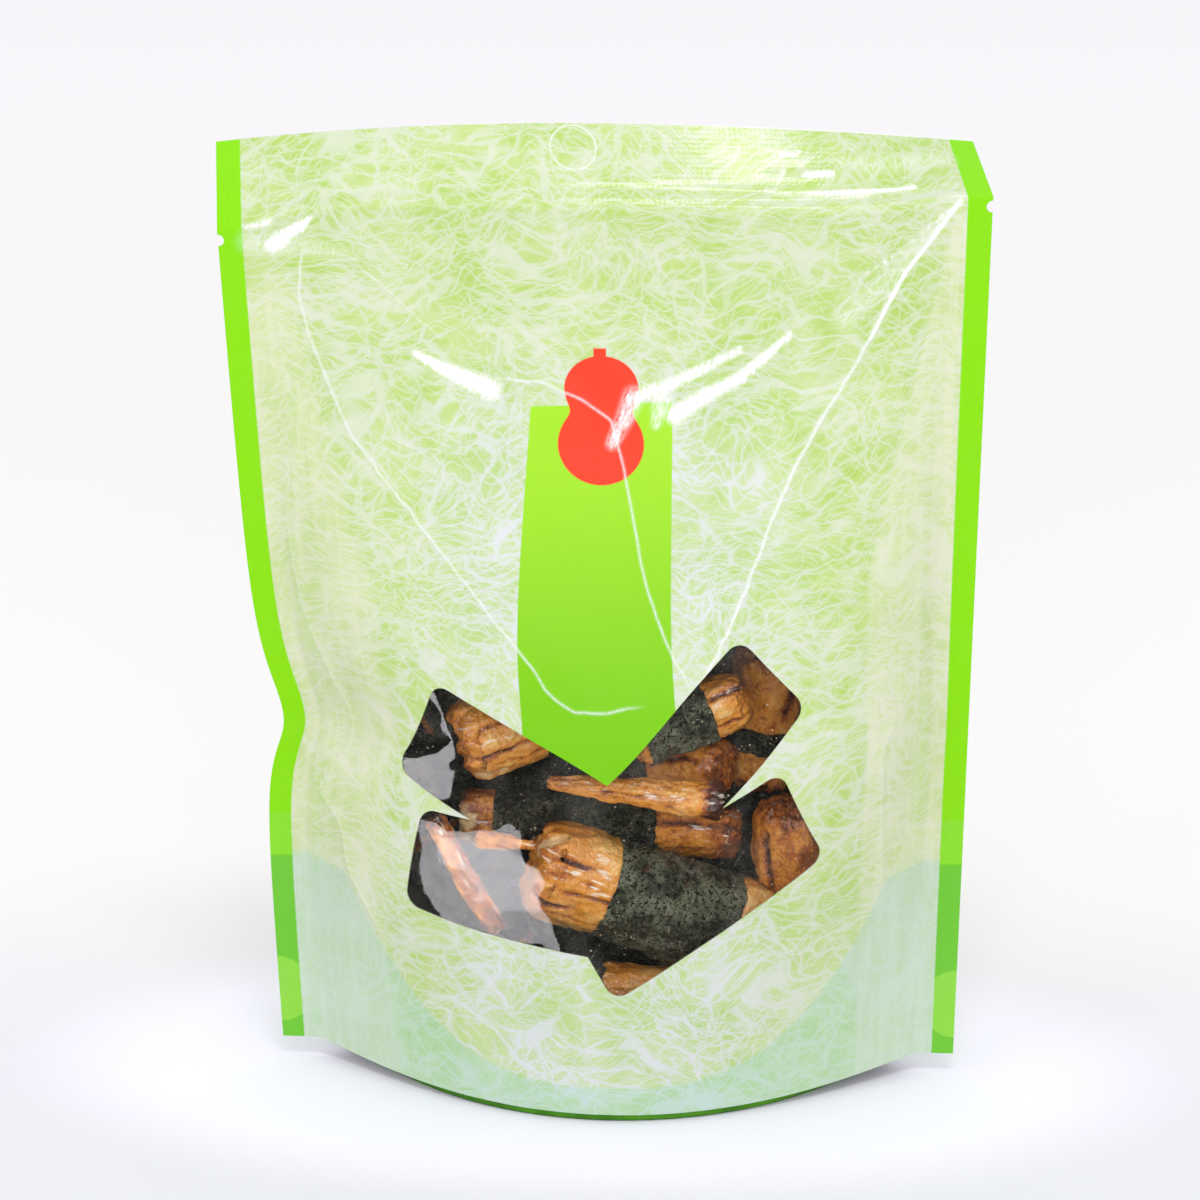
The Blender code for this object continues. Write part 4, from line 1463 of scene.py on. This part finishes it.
    def wrap(self) -> tuple[np.ndarray, list]:
        """Points and faces of the nori band: a ragged, crinkled sleeve."""
        low, high = self.band
        rows = max(int((high - low) * self.length / 0.00042), 12)
        turns = np.linspace(0, 2 * np.pi, self.sides, endpoint=False)
        share = np.repeat(np.linspace(0, 1, rows), self.sides)
        angle = np.tile(turns, rows)
        ragged = Noise(self.seed + 33)
        loop = np.stack([np.cos(angle) * 2.2, np.sin(angle) * 2.2, np.zeros(len(angle))], axis=1)
        first = low * self.length + 0.0004 * ragged.layered(loop, 4, 0.6)
        last = high * self.length + 0.0009 * ragged.layered(loop + 9.0, 4, 0.6)
        far = mix(first, last, share)
        body = self.outline(far, angle)
        around = np.stack([np.cos(angle) * body, np.sin(angle) * body], axis=1)
        crinkle = Noise(self.seed + 41).layered(np.column_stack([far, around]) / 0.0030, 4, 0.62)
        edge = smooth(0.0, 0.03, share) * smooth(1.0, 0.97, share)
        outer = body + self.nori_lift + 0.00030 * crinkle * edge
        radial = np.concatenate([outer, outer - self.nori_lift])
        far, angle = np.tile(far, 2), np.tile(angle, 2)
        along, front, top = self.axes()
        points = np.array(self.start) + far[:, None] * along
        points += (radial * np.cos(angle))[:, None] * front
        points += (radial * np.sin(angle) * self.squeeze)[:, None] * top
        count = rows * self.sides
        faces = self.ring_faces(rows)
        faces += [tuple(count + corner for corner in face[::-1]) for face in faces]
        for row, way in ((0, -1), (rows - 1, 1)):
            for side in range(self.sides):
                here, after = row * self.sides + side, row * self.sides + (side + 1) % self.sides
                faces.append((here, after, count + after, count + here)[::way])
        return points, faces

    def outward_faces(self, faces: list) -> list:
        """The faces turned so that they point outwards."""
        along, front, top = self.axes()
        right_handed = np.dot(np.cross(front, top), along) > 0
        return faces if not right_handed else [face[::-1] for face in faces]

    def build(self, crust: Finish, nori: Finish) -> None:
        """Make the cracker and its nori as pieces."""
        points, faces, marks = self.crust()
        name = f"rice_cracker_{self.name}"
        piece = new_piece(name, points, self.outward_faces(faces), marks=marks)
        settle(piece, crust, "cracker", *([f"cracker_{self.name}"] if self.packed else []))
        if self.band:
            points, faces = self.wrap()
            # lit carries the band's painted light to its finish
            lit = np.full(len(points), self.nori_painted_light)
            piece = new_piece(f"nori_band_{self.name}", points, self.outward_faces(faces), marks={"lit": lit})
            settle(piece, nori, "nori", *([f"nori_{self.name}"] if self.packed else []))


@dataclass(frozen=True)
class Filling:
    """All the crackers: those that show, and dark ones that close the gaps."""

    shown: tuple[Stick, ...] = (
        Stick("upper_left", (-0.0260, -0.0165, 0.0730), (0.0030, -0.0080, 0.0810), 0.0090, (0.48, 0.93), 3,
              0.62, (End.ROUND, End.ROUND), (
                  Groove(24, 4, 0.12, 0.50, 0.0005, 0.0005), Groove(-20, 12, 0.05, 0.50, 0.0009, 0.0006),
                  Groove(-44, 10, 0.15, 0.50, 0.0006, 0.0005)),
              (Chip(-64, 2.6, 1.4), Chip(-60, 5.6, 1.2))),
        Stick("middle_right", (0.0252, -0.0140, 0.0680), (0.0020, -0.0030, 0.0672), 0.0066, (0.55, 0.93), 5,
              0.46, (End.ROUND, End.ROUND), (Groove(24, 10, 0.12, 0.5, 0.0006, 0.0008),)),
        Stick("splinter", (-0.0085, -0.0245, 0.0678), (0.0252, -0.0238, 0.0645), 0.0038, None, 7,
              0.52, (End.ROUND, End.BURNT), (Groove(-10, 30, 0.3, 0.8, 0.0004, 0.0007),),
              taper=(0.35, 1.15)),
        Stick("upper_right", (0.0282, -0.0155, 0.0833), (0.0075, -0.0210, 0.0755), 0.0066, (0.32, 0.93), 11,
              0.60, (End.ROUND, End.ROUND), (Groove(34, -10, 0.0, 0.3, 0.0008, 0.0006),
                                             Groove(-30, 0, 0.05, 0.3, 0.0007, 0.0006)), nori_painted_light=0.9),
        Stick("tall_right", (0.0335, -0.0018, 0.0890), (0.0310, 0.0022, 0.0605), 0.0086, (0.52, 0.69), 13,
              0.46, (End.ROUND, End.ROUND), (Groove(-40, 20, 0.0, 0.4, 0.0007, 0.0012),)),
        Stick("long_middle", (-0.0275, -0.0080, 0.0550), (0.0275, -0.0075, 0.0522), 0.0062, (0.13, 0.71), 17,
              0.36, (End.TORN, End.ROUND), (Groove(25, 8, 0.72, 0.98, 0.0005, 0.0008),),
              (Chip(10, 1.6, 2.6), Chip(-45, 2.0, 1.8))),
        Stick("chip", (-0.0222, -0.0225, 0.0556), (-0.0105, -0.0272, 0.0556), 0.0018, None, 19,
              0.44, (End.TORN, End.ROUND), taper=(1.35, 0.45)),
        Stick("large_front", (-0.0118, -0.0205, 0.0495), (0.0387, -0.0112, 0.0309), 0.0103, (0.27, 0.735), 23,
              0.66, (End.ROUND, End.ROUND), (
                  Groove(36, -8, 0.04, 0.19, 0.0011, 0.0006), Groove(0, 6, 0.12, 0.31, 0.0009, 0.0005),
                  Groove(-26, 30, 0.01, 0.13, 0.0011, 0.0006), Groove(-46, 14, 0.08, 0.24, 0.0005, 0.0005),
                  Groove(16, 0, 0.16, 0.30, 0.0004, 0.0005)),
              (Chip(60, 1.2, 1.9),), squeeze=1.0, nori_painted_light=1.0),
        Stick("right_end", (0.0372, -0.0125, 0.0605), (0.0392, -0.0112, 0.0430), 0.0082, None, 29,
              0.36, (End.ROUND, End.ROUND), (Groove(-44, 0, 0.2, 0.9, 0.0006, 0.0008),)),
        Stick("sliver", (-0.0308, -0.0232, 0.0597), (-0.0183, -0.0268, 0.0376), 0.0026, None, 31,
              0.30, (End.ROUND, End.TORN)),
        Stick("far_left", (-0.0357, -0.0021, 0.0736), (-0.0228, 0.0014, 0.0797), 0.0075, (0.05, 0.95), 37,
              0.44, (End.ROUND, End.ROUND)),
        Stick("low_left", (-0.0339, -0.0020, 0.0482), (-0.0181, -0.0088, 0.0259), 0.0080, (0.04, 0.96), 41,
              0.44, (End.ROUND, End.ROUND)),
        Stick("low_front", (-0.0053, -0.0178, 0.0226), (0.0308, -0.0170, 0.0206), 0.0066, (0.04, 0.19), 43,
              0.56, (End.TORN, End.ROUND), (Groove(20, 4, 0.3, 0.9, 0.0006, 0.0009),)),
    )
    behind: tuple[tuple[float, float, float, float, float, float, float], ...] = (
        # start x, y, z, end x, y, z and radius
        (-0.044, 0.009, 0.070, -0.008, 0.012, 0.074, 0.0078),
        (-0.043, 0.010, 0.055, -0.004, 0.012, 0.058, 0.0080),
        (-0.045, 0.010, 0.040, -0.008, 0.012, 0.042, 0.0080),
        (-0.030, 0.010, 0.026, 0.012, 0.012, 0.024, 0.0080),
        (-0.004, 0.011, 0.042, 0.040, 0.010, 0.042, 0.0080),
        (0.000, 0.012, 0.058, 0.044, 0.010, 0.060, 0.0078),
        (-0.004, 0.012, 0.075, 0.040, 0.012, 0.076, 0.0078),
        (-0.020, 0.011, 0.089, 0.030, 0.011, 0.092, 0.0070),
        (0.012, 0.006, 0.024, 0.044, 0.006, 0.030, 0.0066),
    )

    def build(self) -> None:
        """Make every cracker and its nori."""
        crust, nori = CrustFinish().make(), NoriFinish().make()
        for stick in self.shown:
            stick.build(crust, nori)
        for number, (x0, y0, z0, x1, y1, z1, radius) in enumerate(self.behind):
            stick = Stick(f"behind_{number + 1}", (x0, y0, z0), (x1, y1, z1), radius, (0.03, 0.97),
                          60 + number, 0.42, (End.ROUND, End.ROUND), sides=48, rings=60, packed=False)
            stick.build(crust, nori)


@dataclass(frozen=True)
class Crumbs:
    """Dust and crumbs of rice that cling inside the window."""

    count: int = 800
    least: float = 0.00005
    most: float = 0.00020
    seed: int = 71

    def build(self, window: Window) -> None:
        """Make the crumbs as one piece."""
        maker = np.random.default_rng(self.seed)
        outline = window.outline()
        low, high = outline.min(axis=0), outline.max(axis=0)
        flat = maker.uniform(low, high, size=(self.count * 3, 2))
        flat = flat[inside_outline(flat, outline)]
        cluster = Noise(self.seed).at(np.column_stack([flat / 0.012, np.zeros(len(flat))]))
        flat = flat[cluster + maker.uniform(-0.6, 0.6, len(flat)) > 0.05][: self.count]
        places = SHEET.fold(flat, Side.FRONT) - SHEET.outward(flat, Side.FRONT) * 0.0006
        sizes = mix(self.least, self.most, maker.uniform(0, 1, len(flat)) ** 3)
        shape = np.array([(1, 0, 0), (-1, 0, 0), (0, 1, 0), (0, -1, 0), (0, 0, 1), (0, 0, -1)], float)
        ring = (0, 2, 1, 3)
        faces_one = [(ring[index], ring[(index + 1) % 4], 4) for index in range(4)]
        faces_one += [(ring[(index + 1) % 4], ring[index], 5) for index in range(4)]
        stretch = maker.uniform(0.6, 1.4, size=(len(flat), 6, 1))
        points = places[:, None, :] + shape[None] * stretch * sizes[:, None, None]
        faces = [tuple(6 * number + corner for corner in face) for number in range(len(flat)) for face in faces_one]
        piece = new_piece("crumbs", points.reshape(-1, 3), faces)
        settle(piece, CrumbFinish().make(), "cracker")


# ------------------------------------------------------------------ the pouch
@dataclass(frozen=True)
class Pouch:
    """The film pouch: two printed panels, the clear window and the base."""

    skin: float = 0.00030
    thickness: float = 0.00022
    window: Window = field(default_factory=Window)
    notch: Notch = field(default_factory=Notch)
    creases: tuple[Crease, ...] = (
        Crease(((-58.3, 175), (-59.3, 169.5), (-59.9, 162), (-58.6, 155.5), (-56.7, 149.7), (-54, 142),
                (-51, 134.5), (-46.1, 128.4), (-42, 123), (-32.4, 111.6), (-22.2, 99), (-16.5, 92.3),
                (-12.7, 86.3), (-10, 83.6), (-7.2, 82.3), (-1.2, 82.2), (2.9, 83.2), (8, 84)), 0.00013, 0.0005, 0.9),
        Crease(((68.7, 177.3), (63.3, 170.6), (58.7, 165.4), (55.2, 159.2), (52.4, 153.4), (46.6, 143.7),
                (41.8, 136.1), (38.2, 129.6), (33.6, 119), (29.3, 107.7), (25.7, 99.2), (22.2, 92.4),
                (17.9, 86)), 0.00017, 0.0005, 1.0, 0.00034),
        Crease(((-21.8, 145.8), (-11.9, 145.1), (-8.2, 143.3), (-4.5, 141.8), (1.5, 138), (4.4, 127),
                (5.5, 121), (7, 113), (8.9, 105), (11, 99), (13.9, 93), (17.9, 86)), 0.00013, 0.0005, 0.9),
        Crease(((-52.3, 173.2), (-45.9, 165.8), (-41.2, 161.4), (-31.6, 152.9)), 0.00010, 0.0006, 0.35),
        Crease(((-66, 118), (-64.2, 100.1), (-60.9, 84.9), (-58.5, 75.3), (-58.9, 67.5), (-63.9, 57.4),
                (-57.4, 51.6), (-56.2, 43.9), (-48.7, 29.5)), 0.00036, 0.0012, 0.22),
        Crease(((59.2, 75.3), (56.4, 70.5), (57.8, 40.2)), 0.00026, 0.0012, 0.18),
    )
    gusset_reach: float = 0.0545
    gusset_columns: int = 96
    gusset_rings: tuple[tuple[float, float], ...] = (
        # share of the rim's size, height above the floor
        (0.995, 0.00185), (1.0, 0.0012), (0.996, 0.0005), (0.985, 0.0001), (0.95, 0.00005),
        (0.80, 0.00035), (0.55, 0.0008), (0.25, 0.0011),
    )

    def panel(self, flat: np.ndarray, side: Side, seed: int, creases: tuple[Crease, ...]) -> tuple:
        """Places, whitening and painted glare of a panel's flat points."""
        wrinkles = Wrinkles(creases)
        normal = SHEET.outward(flat, side)
        lift = wrinkles.relief(flat, seed)
        places = SHEET.fold(flat, side) + normal * lift[:, None]
        places[:, 1] += side.value * self.skin
        # painted highlight: glare patches on the front panel only
        painted_glare = wrinkles.sheen(flat) if side is Side.FRONT else np.zeros(len(flat))
        return places, {"whitening": wrinkles.whitening(flat), "sheen": painted_glare}

    def build_front(self) -> None:
        """Make the printed front and its clear window."""
        sheet = Cutter().cut(self.window, self.notch, self.creases)
        places, marks = self.panel(sheet.points, Side.FRONT, 101, self.creases)
        finishes = ((sheet.printed, "printed_front", PrintFinish().make(Side.FRONT), "film", "pouch"),
                    (sheet.clear, "window_film", ClearFinish().make(), "pane", "window_pane"))
        for faces, name, finish, slot, node in finishes:
            used, faces = np.unique(faces, return_inverse=True)
            kept = {mark: values[used] for mark, values in marks.items()}
            piece = new_piece(name, places[used], faces.reshape(-1, 3), sheet.points[used], kept)
            piece.data.materials.append(finish.material)
            thicken(piece, self.thickness, LINING if slot == "film" else None)
            settle(piece, finish, slot, node)

    def build_back(self) -> None:
        """Make the printed back."""
        sheet = Cutter(spacing=0.0016).cut(None, self.notch, ())
        places, marks = self.panel(sheet.points, Side.BACK, 131, ())
        used, faces = np.unique(sheet.printed, return_inverse=True)
        kept = {mark: values[used] for mark, values in marks.items()}
        faces = faces.reshape(-1, 3)[:, ::-1]
        piece = new_piece("printed_back", places[used], faces, sheet.points[used], kept)
        finish = PrintFinish().make(Side.BACK)
        piece.data.materials.append(finish.material)
        thicken(piece, self.thickness, LINING)
        settle(piece, finish, "film")

    def build_gusset(self) -> None:
        """Make the base film: a lens-shaped tray whose rim shows under the panels."""
        s = np.concatenate([
            np.linspace(-self.gusset_reach, self.gusset_reach, self.gusset_columns + 1)[:-1],
            np.linspace(self.gusset_reach, -self.gusset_reach, self.gusset_columns + 1)[:-1],
        ])
        front = np.arange(len(s)) < self.gusset_columns
        flat = np.stack([s, np.zeros(len(s))], axis=1)
        rim = np.where(front[:, None], SHEET.fold(flat, Side.FRONT), SHEET.fold(flat, Side.BACK))
        rim[:, 1] *= np.sqrt(np.maximum(1 - (s / self.gusset_reach) ** 6, 0.0))
        points = []
        for share, height in self.gusset_rings:
            ring = rim * (share, share, 1.0)
            lift = rim[:, 2] - SHEET.rim
            ring[:, 2] = height + np.where(height > 0.001, lift, 0.0) * (share > 0.9)
            points.append(ring)
        count = len(s)
        faces = []
        for row in range(len(points) - 1):
            for index in range(count):
                after = (index + 1) % count
                faces.append((row * count + index, row * count + after,
                              (row + 1) * count + after, (row + 1) * count + index)[::-1])
        every = np.concatenate(points)
        centre = len(every)
        every = np.vstack([every, (0.0, 0.0, 0.0012)])
        last = (len(points) - 1) * count
        faces += [(last + (index + 1) % count, last + index, centre)[::-1] for index in range(count)]
        piece = new_piece("gusset_film", every, faces)
        finish = GussetFinish().make()
        piece.data.materials.append(finish.material)
        thicken(piece, self.thickness)
        settle(piece, finish, "gusset", "gusset")

    def build(self) -> None:
        """Make every film of the pouch."""
        self.build_front()
        self.build_back()
        self.build_gusset()


# ----------------------------------------------------------------- the studio
class Reach(Enum):
    """What a light acts on: everything, only mirror images, or only soft shading."""

    ALL = "all"
    MIRRORED = "mirrored"
    SOFT = "soft"


LAVENDER: Colour = (0.985, 0.955, 1.0)
FOOD = ("rice_cracker", "nori_band")
PANE = ("window_film",)


@dataclass(frozen=True)
class Softbox:
    """A soft studio light: place, what it faces, size and brightness."""

    name: str
    place: tuple[float, float, float]
    size: tuple[float, float]
    radiance: float
    reach: Reach = Reach.ALL
    aim: tuple[float, float, float] = (0.0, 0.0, 0.09)
    colour: Colour = (1.0, 1.0, 1.0)
    only: tuple[str, ...] = ()          # how the names of what it lights start; none for all

    def build(self) -> None:
        """Make the light."""
        light = bpy.data.lights.new(self.name, "AREA")
        light.shape = "RECTANGLE"
        light.size, light.size_y = self.size
        light.energy = self.radiance * math.pi * self.size[0] * self.size[1]
        light.color = self.colour
        thing = bpy.data.objects.new(self.name, light)
        bpy.context.scene.collection.objects.link(thing)
        thing.location = self.place
        thing.rotation_euler = (Vector(self.aim) - Vector(self.place)).to_track_quat("-Z", "Y").to_euler()
        thing.visible_camera = False
        thing.visible_diffuse = self.reach is not Reach.MIRRORED
        thing.visible_glossy = self.reach is not Reach.SOFT
        if self.only:
            lit = bpy.data.collections.new(f"lit_by_{self.name}")
            for piece in bpy.context.scene.objects:
                if piece.name.startswith(self.only):
                    lit.objects.link(piece)
            thing.light_linking.receiver_collection = lit
            if self.only == FOOD:
                thing.light_linking.blocker_collection = lit


@dataclass(frozen=True)
class Studio:
    """Pale floor, soft light and the camera."""

    floor_size: float = 9.0
    # Painted light: the floor is graded darker in front and lighter far behind to set how bright it looks, and paler
    # round the pouch's footprint to paint out its contact shadow.
    floor_far: Colour = linear(251, 248, 250)
    floor_back: Colour = linear(245, 243, 243)
    floor_front: Colour = linear(229, 229, 235)
    floor_shadow_lift: Colour = linear(247, 245, 255)
    foreground: float = 80.0            # millimetres of floor that show in front
    behind: tuple[float, float] = (60.0, 200.0)
    beyond: tuple[float, float] = (500.0, 1200.0)
    footprint: tuple[float, float] = (75.0, 45.0)
    sky: float = 0.94
    backdrop: float = 0.92
    elevation: float = 17.0
    azimuth: float = 4.0
    distance: float = 0.900
    target: tuple[float, float, float] = (-0.00074, 0.00646, 0.095)
    lens: float = 137.7
    lights: tuple[Softbox, ...] = (
        Softbox("key_left", (-1.10, -1.00, 0.85), (0.45, 0.45), 2.7, Reach.SOFT),
        Softbox("key_right", (1.20, -0.95, 0.80), (0.45, 0.45), 1.6),
        Softbox("overhead", (0.15, -0.72, 1.62), (0.42, 0.26), 12.0),
        Softbox("fill", (0.10, -1.55, 0.62), (0.80, 0.60), 3.2, Reach.SOFT),
        Softbox("card_low", (-0.340, -0.366, -0.153), (0.52, 0.22), 6.6, Reach.MIRRORED, (-0.03, -0.03, 0.05),
                LAVENDER, PANE),
        Softbox("card_bright", (-0.298, -0.412, -0.129), (0.36, 0.09), 4.5, Reach.MIRRORED, (-0.03, -0.03, 0.05),
                LAVENDER, PANE),
        Softbox("card_side", (-0.507, -0.199, 0.070), (0.36, 0.06), 8.0, Reach.MIRRORED, (-0.04, -0.02, 0.07),
                LAVENDER, PANE),
        Softbox("glint", (0.02, -1.10, 0.80), (0.15, 0.11), 55.0, Reach.MIRRORED, (0.0, 0.0, 0.06), only=FOOD),
        Softbox("glint_left", (-0.66, -0.90, 0.62), (0.12, 0.16), 45.0, Reach.MIRRORED, (0.0, 0.0, 0.06), only=FOOD),
    )

    def build_floor(self) -> None:
        """Make the floor, which fills the view behind the pouch, with its brightness painted into its colour."""
        half = self.floor_size / 2
        points = np.array([(-half, -half, 0.0), (half, -half, 0.0), (half, half, 0.0), (-half, half, 0.0)])
        piece = new_piece("studio_floor", points, [(0, 1, 2, 3)])
        finish = Finish("studio_floor")
        place = finish.place()
        depth = place.moved((0.0, self.foreground, 0.0)).scaled(0.0, 1.0, 0.0).length()
        colour = depth.ease(*self.behind).tint(self.floor_front, self.floor_back)
        colour = depth.ease(*self.beyond).tint(colour, self.floor_far)
        # painted light: paler round the footprint, covering the pouch's contact shadow
        around = place.scaled(1 / self.footprint[0], 1 / self.footprint[1], 0.0).length()
        finish.feed("Base Color", around.ease(1.1, 1.7).tint(self.floor_shadow_lift, colour))
        finish.fix(Roughness=0.9, Specular_IOR_Level=0.1)
        piece.data.materials.append(finish.material)
        piece.visible_glossy = False

    def build_sky(self) -> None:
        """Make the surrounding light: bright above and behind, dark by the camera."""
        world = bpy.data.worlds.new("studio")
        bpy.context.scene.world = world
        world.use_nodes = True
        tree = world.node_tree
        background = tree.nodes["Background"]
        look = Wire(tree, tree.nodes.new("ShaderNodeTexCoord").outputs["Generated"])
        parts = tree.nodes.new("ShaderNodeSeparateXYZ")
        tree.links.new(look.socket, parts.inputs[0])
        ahead, up = Wire(tree, parts.outputs[1]), Wire(tree, parts.outputs[2])
        dark = ahead.ease(-0.30, -0.75) * up.ease(0.55, 0.25)
        mirrored = up.ease(-0.15, 0.10, 0.10, 0.50) * (1.0 - dark * 0.92)
        path = tree.nodes.new("ShaderNodeLightPath")
        seen = Wire(tree, path.outputs["Is Camera Ray"])
        glossy = Wire(tree, path.outputs["Is Glossy Ray"])
        level = glossy * mirrored + (1.0 - glossy) * self.sky
        tree.links.new((level * (1.0 - seen) + seen * self.backdrop).socket, background.inputs["Strength"])
        background.inputs["Color"].default_value = (0.98, 0.985, 1.0, 1.0)

    def build_camera(self) -> None:
        """Make the camera."""
        rise, turn = math.radians(self.elevation), math.radians(self.azimuth)
        back = Vector((math.sin(turn) * math.cos(rise), -math.cos(turn) * math.cos(rise), math.sin(rise)))
        camera = bpy.data.cameras.new("camera")
        camera.lens = self.lens
        camera.sensor_width = 36.0
        thing = bpy.data.objects.new("camera", camera)
        bpy.context.scene.collection.objects.link(thing)
        thing.location = Vector(self.target) + back * self.distance
        thing.rotation_euler = (-back).to_track_quat("-Z", "Y").to_euler()
        bpy.context.scene.camera = thing

    def build(self) -> None:
        """Make the floor, the lights and the camera."""
        self.build_floor()
        self.build_sky()
        for light in self.lights:
            light.build()
        self.build_camera()
        bpy.context.scene.view_settings.view_transform = "Standard"


def main() -> None:
    """Build and dress the pouch and its filling, then set up the studio."""
    logging.basicConfig(level=logging.INFO, format="%(name)s: %(message)s")
    pouch = Pouch()
    pouch.build()
    Filling().build()
    Crumbs().build(pouch.window)
    Studio().build()


if __name__ == "__main__":
    main()
